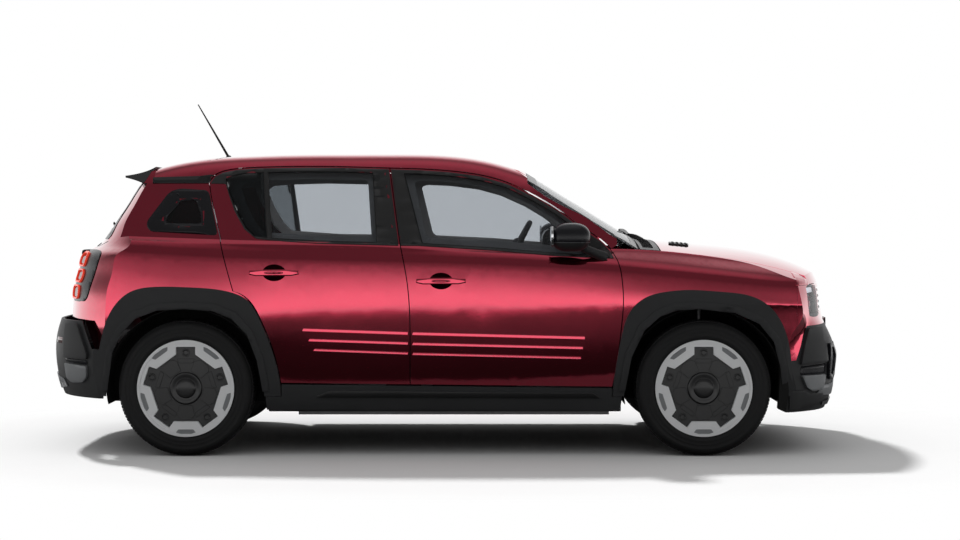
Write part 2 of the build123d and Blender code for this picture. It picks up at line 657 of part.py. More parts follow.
QUARTER_RUNS = [[(-1207, 1389.4), (-1177, 1250), (-1140, 1122), (-1093, 950), (-1061, 838)],
                [(-1061, 838), (-984, 793), (-924, 695), (-860, 530), (-826, 374)],
                [(-826, 374), (-2100, 374)], [(-2100, 374), (-2100, 1389.4)],
                [(-2100, 1389.4), (-1207, 1389.4)]]
BUMPER_SIDE = [[(-2200, 687), (-1843, 687)], [(-1843, 687), (-1779, 545)], [(-1779, 545), (-1600, 535)],
               [(-1600, 535), (-1600, 200)], [(-1600, 200), (-2200, 200)], [(-2200, 200), (-2200, 687)]]
LAMP_FACE = [[(-462, 800), (-462, 1016)], [(-462, 1016), (-470, 1034), (-488, 1042)],
             [(-488, 1042), (-624, 1042)], [(-624, 1042), (-643, 1034), (-651, 1016)],
             [(-651, 1016), (-651, 800)], [(-651, 800), (-643, 783), (-624, 775)],
             [(-624, 775), (-488, 775)], [(-488, 775), (-470, 783), (-462, 800)]]
SCREEN_EDGE = [(1012, -692), (880, -722), (740, -712), (600, -702), (434, -663)]
HEADLAMP_FACE = [[(-520, 708), (-520, 856)], [(-520, 856), (-600, 862), (-700, 862), (-738, 852)],
                 [(-738, 852), (-748, 780), (-742, 706)], [(-742, 706), (-640, 697), (-520, 708)]]
GRILLE_FACE = [[(10, 724), (10, 842)], [(10, 842), (-500, 846)], [(-500, 846), (-500, 718)],
               [(-500, 718), (10, 724)]]
FRONT_CORNER = [(1797, 864), (2200, 864), (2200, 658), (1855.6, 658), (1794, 484), (1690, 484),
                (1690, 607.9), (1797, 607.9)]
FRONT_BUMPER_SIDE = [(2200, 657), (1855.6, 657), (1794, 483), (1690, 483), (1690, 219), (2200, 219)]
REAR_LAMP_X = -1660
HEADLAMP_X = 1780


def doors(skin, core, glass):
    """Four doors and their glass."""
    for node, outline, window, catch, height, grip, strips in (
            ("front_door", FRONT_DOOR, FRONT_WINDOW, FRONT_CATCH, FRONT_CATCH_Z, FRONT_GRIP, FRONT_RIBS),
            ("rear_door", REAR_DOOR, REAR_WINDOW, REAR_CATCH, REAR_CATCH_Z, REAR_GRIP, REAR_RIBS)):
        shell = door_shell(outline, window, skin, core, catch, height, grip, strips)
        pane = one(glass & plate(inset_runs(window, SEAT_GAP)))
        save(f"{node}_right", shell)
        save(f"{node}_left", shell.mirror(Plane.XZ))
        save(f"{node}_glass_right", pane)
        save(f"{node}_glass_left", pane.mirror(Plane.XZ))
        if node == "front_door":
            housing = one(mirror_housing() - shell)
    save("mirror_right", housing)
    save("mirror_left", housing.mirror(Plane.XZ))


def upper_body(skin, full, inner):
    """Roof, side frames, windscreen and middle pillars."""
    roof_plan = [[(300, -548), (-1496, -548)], [(-1496, -548), (-1496, 0)], [(-1496, 0), (700, 0)],
                 [(700, 0), (700, -548)], [(700, -548), (300, -548)]]
    header = plate(corners([(-1496, 1380), (-1496, 1700), (430, 1700), (430, 1300), (395, 1300)]))
    save("roof_panel", whole(one(one(skin & plan(roof_plan)) & header)))
    side = [(x, y - 0.5) for x, y in SCREEN_EDGE]
    rail_plan = [[(1012, -1000), side[0]], side, [side[-1], (432, -548.5)],
                 [(432, -548.5), (-1496, -548.5)], [(-1496, -548.5), (-1496, -1000)],
                 [(-1496, -1000), (1012, -1000)]]
    frame = one(one(full & plate(side_frame_runs())) & plan(rail_plan))
    save("side_frames", both(frame))
    screen_plan = [SCREEN_EDGE, [SCREEN_EDGE[-1], (434, 0)], [(434, 0), (1012, 0)],
                   [(1012, 0), SCREEN_EDGE[0]]]
    pane = screen_cylinder(0, PANE_HEAD) - screen_cylinder(GLASS, PANE_HEAD)
    save("windscreen", whole(one(pane & plan(screen_plan, 1030, 1600))))
    middle = inner_post(inner, B_POST, FRONT_CATCH, FRONT_CATCH_Z, 28, POST_DROP)
    rear = inner_post(inner, C_POST, REAR_CATCH, REAR_CATCH_Z, 14, 0)
    front = block(850, 892, -765, -641, 340 + SEAT_GAP, 985)
    save("door_pillars", both(middle), both(rear), both(front))


def rear_body(skin, full, glass):
    """Quarter panels, lamps, tailgate and its glass."""
    quarter = one(skin & plate(QUARTER_RUNS))
    quarter = one(quarter - plate(inset_runs(REAR_ARCH_INNER, -17)))
    quarter = one(quarter - plate(QUARTER_WINDOW))
    quarter = one(quarter - facing(tailgate_plan(-SHUT_GAP), -2200, -1490))
    quarter = one(quarter - plate(BUMPER_SIDE))
    quarter = one(quarter - facing(LAMP_FACE, -2200, REAR_LAMP_X))
    save("quarter_panels", both(quarter))
    save("quarter_glass", both(one(glass & plate(inset_runs(QUARTER_WINDOW, SEAT_GAP)))))
    lamp = one(full & facing(inset_runs(LAMP_FACE, SEAT_GAP), -2200, REAR_LAMP_X - SEAT_GAP))
    save("tail_lamps", both(lamp))
    gate = one(full & facing(tailgate_plan(0), -2200, TAILGATE_SPLIT))
    save("tailgate_panel", whole(one(gate - facing(GATE_GLASS, -2200, -1500))))
    pane = one(one(glass & block(-2200, TAILGATE_SPLIT, -900, 0, 1000, 1600))
               & facing(inset_runs(GATE_GLASS, SEAT_GAP), -2200, -1500))
    save("tailgate_glass", whole(pane))
    spoiler = plate([[(-1503, 1476), (-1540, 1458), (-1600, 1440), (-1664, 1429)],
                     [(-1664, 1429), (-1662, 1419)], [(-1662, 1419), (-1620, 1408), (-1560, 1384)],
                     [(-1560, 1384), (-1503, 1476)]], -532)
    save("spoiler", whole(one(spoiler - full - glasshouse_half(-SEAT_GAP))))


def front_body(outer, skin, core, room):
    """Bonnet, fenders, nose and lamps."""
    lid_skin = one(outer - lower_half(BONNET_SKIN))
    save("bonnet", whole(bonnet(lid_skin)))
    cowl_plan = [[(1012.3, -717), (1112, -714)], [(1112, -714), (1112, 10)], [(1112, 10), (1012.3, 10)],
                 [(1012.3, 10), (1012.3, -717)]]
    save("cowl", whole(one(skin & plan(cowl_plan, 1000))))
    wing = fender(skin)
    save("front_fenders", wing, small_parts(wing.mirror(Plane.XZ), room))
    nose = one(skin & plate(corners(FRONT_CORNER)))
    nose = one(nose - plate(inset_runs(FRONT_ARCH_INNER, -17)))
    nose = one(nose - facing(HEADLAMP_FACE, HEADLAMP_X, 2200) - facing(GRILLE_FACE, HEADLAMP_X, 2200))
    save("front_panel", whole(nose))
    backing = [[(10, 712), (10, 852)], [(10, 852), (-508, 852)], [(-508, 852), (-508, 712)],
               [(-508, 712), (10, 712)]]
    grille = one(core & facing(backing, HEADLAMP_X, 2200))
    save("grille", whole(grille.moved(Location((-SEAT_GAP, 0, 0)))))
    lamp = one(one(outer - lower_half(70)) & facing(inset_runs(HEADLAMP_FACE, SEAT_GAP), HEADLAMP_X + 1, 2200))
    save("headlamps", both(lamp))
    bumper = one(skin & plate(corners(FRONT_BUMPER_SIDE)))
    bumper = one(bumper - plate(inset_runs(FRONT_ARCH_INNER, -17)))
    save("front_bumper", whole(bumper))


def rear_bumper():
    """Rear bumper shell."""
    shell = one(lower_half(0, bumper_cut) - lower_half(16, bumper_cut))
    zone = plate(inset_runs([[(-2200, 684), (-1842, 684)], [(-1842, 684), (-1779, 545)],
                             [(-1779, 545), (-1700, 541)], [(-1700, 541), (-1700, 289)],
                             [(-1700, 289), (-2200, 289)], [(-2200, 289), (-2200, 684)]], 2))
    return one(one(shell & zone) - plate(inset_runs(REAR_ARCH_INNER, -17)))


def trims(proud, skin, under):
    """Arch trims, sill trims and sills."""
    front = arch_trim(proud, 305, skin, FRONT_ARCH_OUTER, FRONT_ARCH_INNER)
    rear = arch_trim(proud, 305, skin, REAR_ARCH_OUTER, REAR_ARCH_INNER)
    save("arch_trims", both(front) + both(rear))
    outline = corners([(-814, 366), (-814, 303), (-896, 303), (-892, 236), (900, 232), (908, 303),
                       (857, 303), (857, 347)])
    save("sill_trims", both(one(proud & plate(outline))))
    edge = one(skin & plate(corners([(-880, 360), (896, 340), (896, 226), (-880, 226)])))
    box = one(under & block(-885, 905, -900, -700, 226, 340))
    save("sills", both(joined(edge, box)))


def small_parts(wing_left, room):
    """Charge flap with its socket, antenna and wiper arms."""
    flap_face = [[(930, 870), (930, 935)], [(930, 935), (934, 946), (945, 950)], [(945, 950), (1025, 950)],
                 [(1025, 950), (1036, 946), (1040, 935)], [(1040, 935), (1040, 870)],
                 [(1040, 870), (1036, 859), (1025, 855)], [(1025, 855), (945, 855)],
                 [(945, 855), (934, 859), (930, 870)]]
    flap = one(wing_left & plate(flap_face, 0, 1100))
    fender_left = one(wing_left - plate(inset_runs(flap_face, -4), 0, 1100))
    cup = one(block(920, 1050, 800, 863, 845, 960) - block(925, 1045, 805, 864, 850, 955))
    catch = block(936, 944, 802, 865, 896, 908)
    socket = Solid.make_cylinder(34, 46, Plane(origin=(985, 804, 902), z_dir=(0, 1, 0)))
    well = Solid.make_cylinder(29, 30, Plane(origin=(985, 824, 902), z_dir=(0, 1, 0)))
    save("charge_flap", flap)
    cup = one(cup & room.mirror(Plane.XZ))
    save("charge_socket", joined(cup, catch, one(socket - well)))
    rod = Solid.make_cone(7, 3, 330, Plane(origin=(-1195, 0, 1546), z_dir=(-0.5, 0, 0.866)))
    seat_z = roof_z(-1192) - 3
    foot = Solid.make_cone(26, 10, 22, Plane(origin=(-1192, 0, seat_z), z_dir=(-0.09, 0, 0.996)))
    half = one(joined(foot, rod) & right_of_centre())
    save("antenna", whole(one(half - glasshouse_half(-SEAT_GAP))))
    return fender_left


def underbody(room):
    """Floor, battery, drive unit, crash beams and axles."""
    edge = 699.7
    floor = [block(-740, 892, -edge, edge, FLOOR_TOP - 20, FLOOR_TOP),
             block(-760, -740, -edge, edge, FLOOR_TOP - 20, 560),
             block(-1900, -740, -600, 600, 540, 560),
             block(-1925, -1900, -430, 430, 440, TAILGATE_LOW - 0.6),
             block(-2030, -1925, -360, -300, 490, 530), block(-2030, -1925, 300, 360, 490, 530),
             block(-2100, -2020, -380, 380, 470, 545)]
    behind = lower_half(16 + SEAT_GAP, bumper_cut)
    save("floor_pan", whole(one(one(joined(*floor) & right_of_centre()) & behind)))
    save("battery_pack", block(-780 + 25, 860, -600, 600, BATTERY_LOW, FLOOR_TOP - 20 - SEAT_GAP))
    save("drive_unit", block(1180, 1560, -260, 300, 260 + SEAT_GAP, 620))
    wall = block(893, FIREWALL_X, -640, 640, FLOOR_TOP - 20, 1040)
    shelf = block(FIREWALL_X, 1095, -640, 640, 1006, 1020)
    save("firewall", joined(wall, shelf))
    rail = block(FIREWALL_X + SEAT_GAP, 1990, -470, -400, 380, 470)
    tower = block(FRONT_AXLE_X - 90, FRONT_AXLE_X + 90, -690, -400, KNUCKLE_HIGH[1] - 1 + SEAT_GAP, 866)
    leg = block(FRONT_AXLE_X - 90, FRONT_AXLE_X + 90, -440, -420, 470, 856)
    beam = one(block(1990, 2100, -470, 0, 430, 520) & room)
    upper = block(1840, 1880, -470, 0, 700, 740)
    stay = block(1840, 1880, -450, -420, 470, 700)
    stop = Solid.make_cylinder(12, bonnet_stop_height() - 740,
                               Plane(origin=(1860, -200, 740), z_dir=(0, 0, 1)))
    save("front_rails", whole(joined(rail, tower, leg, beam, upper, stay, stop)))
    frame = block(1180, 1480, -380, 380, 200, 260)
    hanger = block(1190, 1230, -470, -370, 200, 380 - SEAT_GAP)
    save("front_subframe", joined(frame, *both(hanger), *both(lower_arm())))


def bonnet_stop_height():
    """Height of the bonnet's underside above its rubber stops."""
    drop = bonnet_z(1860) - wing_z(1860)
    return bonnet_z(1860) - BONNET_SKIN - drop * (212 / shoulder_y(1860)) ** 2.3 - 0.2


def rear_suspension():
    """Rear beam axle with trailing arms, hubs and discs."""
    beam = block(-1340, -1280, -640, 640, 270, 350)
    arm = block(-1330, -760.3, -646, -601, 297, 350)
    hub = Solid.make_cylinder(34, HUB_FACE - 646 - SEAT_GAP,
                              Plane(origin=(REAR_AXLE_X, -646, TYRE_RADIUS), z_dir=(0, -1, 0)))
    disc = Solid.make_cylinder(140, 22, Plane(origin=(REAR_AXLE_X, -700, TYRE_RADIUS), z_dir=(0, -1, 0)))
    half = joined(arm, hub, disc)
    save("rear_axle", joined(beam, half, half.mirror(Plane.XZ)))


def liners(room):
    """Wheelhouse liners inside the skin."""
    strut = block(FRONT_AXLE_X - 70, FRONT_AXLE_X + 70, -690, -560, 700, 800)
    hub_way = Solid.make_cylinder(42, 100, Plane(origin=(REAR_AXLE_X, -700, TYRE_RADIUS), z_dir=(0, 1, 0)))
    front = liner(FRONT_AXLE_X, -478, room, strut)
    rear = liner(REAR_AXLE_X, -656, room, hub_way)
    save("wheel_liners", both(front) + both(rear))


def cabin():
    """Seats, dashboard and steering wheel."""
    save("front_seats", seat(SEAT_X, -SEAT_Y), seat(SEAT_X, SEAT_Y))
    base = block(-900, -480, -600, 600, 560 + SEAT_GAP, 640)
    back = Box(120, 1200, 560, align=(Align.CENTER, Align.CENTER, Align.MIN))
    back = one(back.moved(Location((-900, 0, 600), (0, -18, 0))))
    save("rear_bench", joined(base, back))
    tilt = Location(WHEEL_AT, (0, -62, 0))
    way = Solid.make_cylinder(22 + SEAT_GAP, 400).moved(Location((0, 0, -400))).moved(tilt)
    save("dashboard", one(block(620, 892.7, -640, 640, 720, 990) - way))
    ring = Solid.make_torus(170, 15)
    hub = Solid.make_cylinder(60, 50).moved(Location((0, 0, -25)))
    spoke = block(-165, 165, -15, 15, -8, 8)
    column = Solid.make_cylinder(22, 300).moved(Location((0, 0, -310)))
    save("steering_wheel", joined(ring, hub, spoke, column).moved(tilt))


def running_gear():
    """Wheels and knuckles."""
    for name, axle_x, side in (("front_right", FRONT_AXLE_X, -1), ("front_left", FRONT_AXLE_X, 1),
                               ("rear_right", REAR_AXLE_X, -1), ("rear_left", REAR_AXLE_X, 1)):
        save(f"tyre_{name}", tyre(axle_x, side))
        save(f"rim_{name}", rim(axle_x, side))
    right = knuckle()
    save("knuckle_right", right)
    save("knuckle_left", right.mirror(Plane.XZ))


def main():
    """Build and write every node."""
    outer = body_half(0)
    under = body_half(SKIN)
    inner = body_half(DOOR_DEPTH)
    skin = one(outer - under)
    core = one(under - inner)
    full = one(outer - inner)
    proud = one(lower_half(-TRIM_PROUD, bumper_cut) - lower_half(-SEAT_GAP, bumper_cut))
    glass = one(glasshouse_half(4) - glasshouse_half(4 + GLASS))
    doors(skin, core, glass)
    upper_body(skin, full, inner)
    rear_body(skin, full, glass)
    room = lower_half(SKIN + SEAT_GAP)
    front_body(outer, skin, core, room)
    save("rear_bumper", whole(rear_bumper()))
    trims(proud, skin, under)
    underbody(room)
    rear_suspension()
    liners(room)
    cabin()
    running_gear()


main()
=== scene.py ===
"""Electric crossover: finishes, trim, lamps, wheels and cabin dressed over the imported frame."""
from __future__ import annotations

import json
import logging
import math
from dataclasses import dataclass
from enum import Enum
from typing import Sequence

import bmesh
import bpy
from mathutils import Matrix, Vector
from mathutils.bvhtree import BVHTree


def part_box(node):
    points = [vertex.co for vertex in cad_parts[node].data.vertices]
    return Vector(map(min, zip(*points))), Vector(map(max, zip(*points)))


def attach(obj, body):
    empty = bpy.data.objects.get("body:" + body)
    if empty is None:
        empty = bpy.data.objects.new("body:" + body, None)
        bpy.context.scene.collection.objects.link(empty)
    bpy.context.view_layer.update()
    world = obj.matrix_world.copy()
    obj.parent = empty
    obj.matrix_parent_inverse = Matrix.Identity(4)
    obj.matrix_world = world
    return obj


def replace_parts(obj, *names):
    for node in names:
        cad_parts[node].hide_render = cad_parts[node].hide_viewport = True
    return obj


log = logging.getLogger("crossover")
MM = 0.001
Point = tuple[float, float]
Colour = tuple[float, float, float]
ACROSS = Vector((0, 1, 0))
UPWARD = Vector((0, 0, 1))


class Side(Enum):
    """Which side of the car a piece is on, by the sign of y."""

    RIGHT = -1
    LEFT = 1

    @property
    def word(self) -> str:
        """Name used in nodes and bodies."""
        return self.name.lower()


class Face(Enum):
    """Direction from which a piece is laid on the skin."""

    FLANK = Vector((0, 1, 0))
    TAIL = Vector((1, 0, 0))
    NOSE = Vector((-1, 0, 0))
    TOP = Vector((0, 0, -1))


# ---------------------------------------------------------------------------------------------
# Finishes


def new_node(tree: bpy.types.NodeTree, kind: str, values: dict[str, object] | None = None) -> bpy.types.Node:
    """Add a shader node.

    Args:
        tree: Node tree.
        kind: Node type without its ShaderNode prefix.
        values: Fixed values by the name of their socket.

    Returns:
        The node.
    """
    made = tree.nodes.new(f"ShaderNode{kind}")
    for socket, value in (values or {}).items():
        made.inputs[socket].default_value = value
    return made


def link(source: bpy.types.Node, output: str | int, target: bpy.types.Node, socket: str | int) -> None:
    """Join two nodes of one tree.

    Args:
        source: Node that gives the value.
        output: Its socket.
        target: Node that takes it.
        socket: Its socket.
    """
    source.id_data.links.new(source.outputs[output], target.inputs[socket])


@dataclass(frozen=True)
class Finish:
    """A procedural finish; every subclass fills in the same shader network."""

    name: str
    colour: Colour
    roughness: float = 0.5
    metallic: float = 0.0
    coat: float = 0.0
    coat_roughness: float = 0.03
    grain: float = 400.0
    bump: float = 0.05
    mottle: float = 0.08
    scatter: float = 0.06

    def build(self) -> bpy.types.Material:
        """Make the material.

        Returns:
            The material, made once per name.
        """
        made = bpy.data.materials.get(self.name)
        if made:
            return made
        mat = bpy.data.materials.new(self.name)
        mat.use_nodes = True
        mat.diffuse_color = (*self.colour, 1)
        tree = mat.node_tree
        shader = tree.nodes["Principled BSDF"]
        shader.inputs["Metallic"].default_value = self.metallic
        shader.inputs["Coat Weight"].default_value = self.coat
        shader.inputs["Coat Roughness"].default_value = self.coat_roughness
        place = new_node(tree, "TexCoord")
        self.tint(tree, place, shader)
        self.relief(tree, place, shader)
        self.extra(tree, place, shader)
        return mat

    def tint(self, tree: bpy.types.NodeTree, place: bpy.types.Node, shader: bpy.types.Node) -> None:
        """Colour and roughness that vary a little over the surface.

        Args:
            tree: Node tree of the material.
            place: Texture coordinate node.
            shader: Principled node.
        """
        cloud = new_node(tree, "TexNoise", {"Scale": 6.0, "Detail": 6.0})
        link(place, "Object", cloud, "Vector")
        ramp = new_node(tree, "ValToRGB")
        low = tuple(c * (1 - self.mottle) for c in self.colour)
        high = tuple(min(1.0, c * (1 + self.mottle)) for c in self.colour)
        ramp.color_ramp.elements[0].position = 0.3
        ramp.color_ramp.elements[1].position = 0.7
        ramp.color_ramp.elements[0].color = (*low, 1)
        ramp.color_ramp.elements[1].color = (*high, 1)
        link(cloud, "Fac", ramp, "Fac")
        link(ramp, "Color", shader, "Base Color")
        spread = new_node(tree, "MapRange", {"To Min": max(0.0, self.roughness - self.scatter),
                                             "To Max": min(1.0, self.roughness + self.scatter)})
        link(cloud, "Fac", spread, "Value")
        link(spread, "Result", shader, "Roughness")

    def relief(self, tree: bpy.types.NodeTree, place: bpy.types.Node, shader: bpy.types.Node) -> None:
        """Fine grain as bump.

        Args:
            tree: Node tree of the material.
            place: Texture coordinate node.
            shader: Principled node.
        """
        if self.bump <= 0:
            return
        grain = new_node(tree, "TexNoise", {"Scale": self.grain, "Detail": 3.0})
        link(place, "Object", grain, "Vector")
        bump = new_node(tree, "Bump", {"Strength": self.bump, "Distance": 0.0006})
        link(grain, "Fac", bump, "Height")
        link(bump, "Normal", shader, "Normal")

    def extra(self, tree: bpy.types.NodeTree, place: bpy.types.Node, shader: bpy.types.Node) -> None:
        """What a subclass adds; nothing here."""


@dataclass(frozen=True)
class FlakePaint(Finish):
    """Clear-coated metallic paint with fine flakes."""

    def relief(self, tree: bpy.types.NodeTree, place: bpy.types.Node, shader: bpy.types.Node) -> None:
        """Flakes turn the light under the coat, and the coat stays smooth.

        Args:
            tree: Node tree of the material.
            place: Texture coordinate node.
            shader: Principled node.
        """
        flakes = new_node(tree, "TexVoronoi", {"Scale": self.grain})
        link(place, "Object", flakes, "Vector")
        bump = new_node(tree, "Bump", {"Strength": self.bump, "Distance": 0.0004})
        link(flakes, "Color", bump, "Height")
        link(bump, "Normal", shader, "Normal")


@dataclass(frozen=True)
class Woven(Finish):
    """Cloth: two crossed waves give the weave."""

    def relief(self, tree: bpy.types.NodeTree, place: bpy.types.Node, shader: bpy.types.Node) -> None:
        """Threads as bump, with a soft sheen.

        Args:
            tree: Node tree of the material.
            place: Texture coordinate node.
            shader: Principled node.
        """
        shader.inputs["Sheen Weight"].default_value = 0.35
        shader.inputs["Sheen Roughness"].default_value = 0.5
        waves = []
        for direction in ("X", "Z", "Y"):
            wave = new_node(tree, "TexWave", {"Scale": self.grain, "Distortion": 0.6})
            wave.bands_direction = direction
            link(place, "Object", wave, "Vector")
            waves.append(wave)
        total = new_node(tree, "Math")
        total.operation = "MULTIPLY_ADD"
        for k, wave in enumerate(waves):
            link(wave, "Fac", total, k)
        bump = new_node(tree, "Bump", {"Strength": self.bump, "Distance": 0.001})
        link(total, "Value", bump, "Height")
        link(bump, "Normal", shader, "Normal")


@dataclass(frozen=True)
class Pane(Finish):
    """Thin tinted glass that lets lamps through."""

    def extra(self, tree: bpy.types.NodeTree, place: bpy.types.Node, shader: bpy.types.Node) -> None:
        """Mix a clear sight line with a mirror by angle.

        Args:
            tree: Node tree of the material.
            place: Texture coordinate node.
            shader: Principled node.
        """
        shader.inputs["Specular IOR Level"].default_value = 0.5
        clear = new_node(tree, "BsdfTransparent", {"Color": (*self.colour, 1)})
        facing = new_node(tree, "Fresnel", {"IOR": 1.42})
        mix = new_node(tree, "MixShader")
        link(facing, "Fac", mix, "Fac")
        link(clear, "BSDF", mix, 1)
        link(shader, "BSDF", mix, 2)
        out = tree.nodes["Material Output"]
        link(mix, "Shader", out, "Surface")


@dataclass(frozen=True)
class Glowing(Finish):
    """Lamp segment lit from inside."""

    glow: float = 1.0

    def extra(self, tree: bpy.types.NodeTree, place: bpy.types.Node, shader: bpy.types.Node) -> None:
        """Add light of its own.

        Args:
            tree: Node tree of the material.
            place: Texture coordinate node.
            shader: Principled node.
        """
        shader.inputs["Emission Color"].default_value = (*self.colour, 1)
        shader.inputs["Emission Strength"].default_value = self.glow


@dataclass(frozen=True)
class Palette:
    """Every finish the car wears."""

    paint: Finish = FlakePaint("candy_red", (0.62, 0.040, 0.085), 0.045, 1.0, 1.0, 0.02, 2600, 0.02, 0.03, 0.01)
    cladding: Finish = Finish("grained_cladding", (0.035, 0.036, 0.038), 0.5, 0, 0, 0.1, 900, 0.22)
    gloss: Finish = Finish("gloss_black", (0.010, 0.010, 0.011), 0.12, 0, 0.5, 0.03, 60, 0.02)
    satin: Finish = Finish("satin_black", (0.018, 0.018, 0.019), 0.35, 0, 0, 0.1, 700, 0.1)
    sash: Finish = Finish("sash_black", (0.040, 0.040, 0.041), 0.33, 0, 0, 0.1, 700, 0.08)
    hub: Finish = Finish("hub_black", (0.022, 0.022, 0.023), 0.24, 0, 0.2, 0.1, 300, 0.05)
    seal: Finish = Finish("rubber_seal", (0.012, 0.012, 0.012), 0.6, 0, 0, 0.1, 500, 0.12)
    glass: Finish = Pane("tinted_glass", (0.80, 0.815, 0.83), 0.03, 0, 0, 0.03, 10, 0.0, 0.0, 0.01)
    privacy: Finish = Pane("privacy_glass", (0.50, 0.52, 0.53), 0.03, 0, 0, 0.03, 10, 0.0, 0.0, 0.01)
    lens: Finish = Pane("clear_lens", (0.93, 0.94, 0.95), 0.03, 0, 0, 0.03, 10, 0.0, 0.0, 0.01)
    chrome: Finish = Finish("bright_metal", (0.78, 0.79, 0.8), 0.12, 1.0, 0, 0.03, 80, 0.02)
    led: Finish = Glowing("led_white", (0.9, 0.93, 1.0), 0.3, 0, 0, 0.03, 80, 0.02, 0.02, 0.02, 0.6)
    red_glow: Finish = Glowing("lamp_red", (0.85, 0.06, 0.03), 0.25, 0, 0.4, 0.03, 80, 0.02, 0.05, 0.02, 0.55)
    # Dark wine red for the handle dishes: painted shade of the recesses.
    wine: Finish = Finish("painted_shade_dish", (0.070, 0.004, 0.010), 0.3, 0.2, 0.3, 0.05, 300, 0.02)
    red_lens: Finish = Finish("red_lens", (0.10, 0.004, 0.004), 0.1, 0, 0.6, 0.02, 80, 0.02)
    alloy: Finish = Finish("silver_alloy", (0.80, 0.81, 0.82), 0.36, 0.75, 0.2, 0.05, 900, 0.01, 0.03, 0.02)
    skid: Finish = Finish("skid_grey", (0.30, 0.31, 0.32), 0.42, 0.35, 0, 0.1, 1200, 0.15)
    rubber: Finish = Finish("tyre_rubber", (0.016, 0.016, 0.017), 0.72, 0, 0, 0.1, 700, 0.3)
    metal: Finish = Finish("cast_metal", (0.22, 0.22, 0.225), 0.48, 0.8, 0, 0.1, 300, 0.3)
    steel: Finish = Finish("painted_steel", (0.028, 0.028, 0.030), 0.5, 0.1, 0.1, 0.2, 500, 0.15)
    felt: Finish = Finish("liner_felt", (0.008, 0.008, 0.008), 0.9, 0, 0, 0.1, 900, 0.6)
    dash: Finish = Finish("dash_skin", (0.035, 0.035, 0.038), 0.62, 0, 0, 0.1, 1100, 0.3)
    fabric: Finish = Woven("seat_weave", (0.045, 0.047, 0.052), 0.88, 0, 0, 0.1, 220, 0.4)
    lining: Finish = Finish("head_lining", (0.42, 0.42, 0.425), 0.9, 0, 0, 0.1, 900, 0.3)
    plate: Finish = Finish("blank_plate", (0.7, 0.7, 0.68), 0.4, 0, 0.3, 0.1, 300, 0.05)


PALETTE = Palette()


# ---------------------------------------------------------------------------------------------
# Mesh work


class Skin:
    """Outer faces of some CAD nodes, for pieces to be laid on."""

    def __init__(self, *nodes: str) -> None:
        """Gather the faces.

        Args:
            *nodes: Names of CAD nodes.
        """
        bm = bmesh.new()
        for node in nodes:
            bm.from_mesh(FRAME["nodes"][node].data)
        self.tree = BVHTree.FromBMesh(bm)
        bm.free()

    def place(self, spot: Vector, way: Vector, lift: float) -> Vector | None:
        """Find the skin behind a point.

        Args:
            spot: Point in the row frame.
            way: Direction in which to look.
            lift: Distance in front of the skin, metres.

        Returns:
            The lifted point, or None where there is no skin.
        """
        start = spot - way * (spot.dot(way) + 4)
        found = self.tree.ray_cast(start, way, 8)
        return None if found[0] is None or found[0].dot(way) > -0.15 else found[0] - way * lift


def outline(bm: bmesh.types.BMesh, points: Sequence[Point], face: Face, corner: float = 0.0,
            segments: int = 3) -> bmesh.types.BMFace:
    """Flat face through a few points, with its corners rounded.

    Args:
        bm: Mesh being made.
        points: Millimetres, (x, z) on the flank, (y, z) on nose and tail, (x, y) on top.
        face: Direction the face looks from.
        corner: Corner rounding, millimetres.
        segments: Steps in each rounded corner.

    Returns:
        The face.
    """
    verts = []
    for a, b in points:
        spot = {Face.FLANK: (a, 0, b), Face.TOP: (a, b, 0)}.get(face, (0, a, b))
        verts.append(bm.verts.new(Vector(spot) * MM))
    made = bm.faces.new(verts)
    if corner > 0:
        bmesh.ops.bevel(bm, geom=verts, affect="VERTICES", offset=corner * MM, segments=segments,
                        profile=0.5, material=-1, clamp_overlap=True)
        made = max(bm.faces, key=lambda f: f.calc_area())
    return made


def gridded(bm: bmesh.types.BMesh, step: float) -> None:
    """Cut the faces along even planes, so that they can bend.

    Args:
        bm: Mesh being made.
        step: Spacing of the cuts, metres.
    """
    for axis in range(3):
        values = [v.co[axis] for v in bm.verts]
        low, high = min(values), max(values)
        normal = Vector([1 if i == axis else 0 for i in range(3)])
        for k in range(math.floor(low / step) + 1, math.ceil(high / step)):
            geom = bm.verts[:] + bm.edges[:] + bm.faces[:]
            bmesh.ops.bisect_plane(bm, geom=geom, dist=1e-6, plane_co=normal * k * step, plane_no=normal)


def framed(bm: bmesh.types.BMesh, outer: Sequence[Point], inner: Sequence[Point], face: Face,
           corners: tuple[float, float] = (0, 0)) -> None:
    """Flat ring between two outlines.

    Args:
        bm: Mesh being made.
        outer: Outer outline, millimetres.
        inner: Hole, millimetres.
        face: Direction the ring looks from.
        corners: Rounding of the outer and the inner corners, millimetres.
    """
    for points, corner in zip((outer, inner), corners):
        ring = bmesh.new()
        made = outline(ring, points, face, corner)
        spots = [v.co.copy() for v in made.verts]
        ring.free()
        verts = [bm.verts.new(spot) for spot in spots]
        for i, vert in enumerate(verts):
            bm.edges.new((vert, verts[(i + 1) % len(verts)]))
    bmesh.ops.triangle_fill(bm, use_beauty=True, edges=bm.edges[:])


def draped(bm: bmesh.types.BMesh, skin: Skin, face: Face, lift: float) -> None:
    """Move every point on to the skin along the face's direction.

    Args:
        bm: Mesh being made.
        skin: What it is laid on.
        face: Direction to look in.
        lift: Distance in front of the skin, millimetres.
    """
    way = face.value
    lost = set()
    for vert in bm.verts:
        spot = skin.place(vert.co, way, lift * MM)
        if spot is None:
            lost.add(vert)
        else:
            vert.co = spot
    for _ in range(60):
        if not lost:
            break
        found = {}
        for vert in lost:
            near = [e.other_vert(vert) for e in vert.link_edges]
            near = [v.co.dot(way) for v in near if v not in lost]
            if near:
                found[vert] = sum(near) / len(near)
        for vert, depth in found.items():
            vert.co += way * (depth - vert.co.dot(way))
        lost -= set(found)


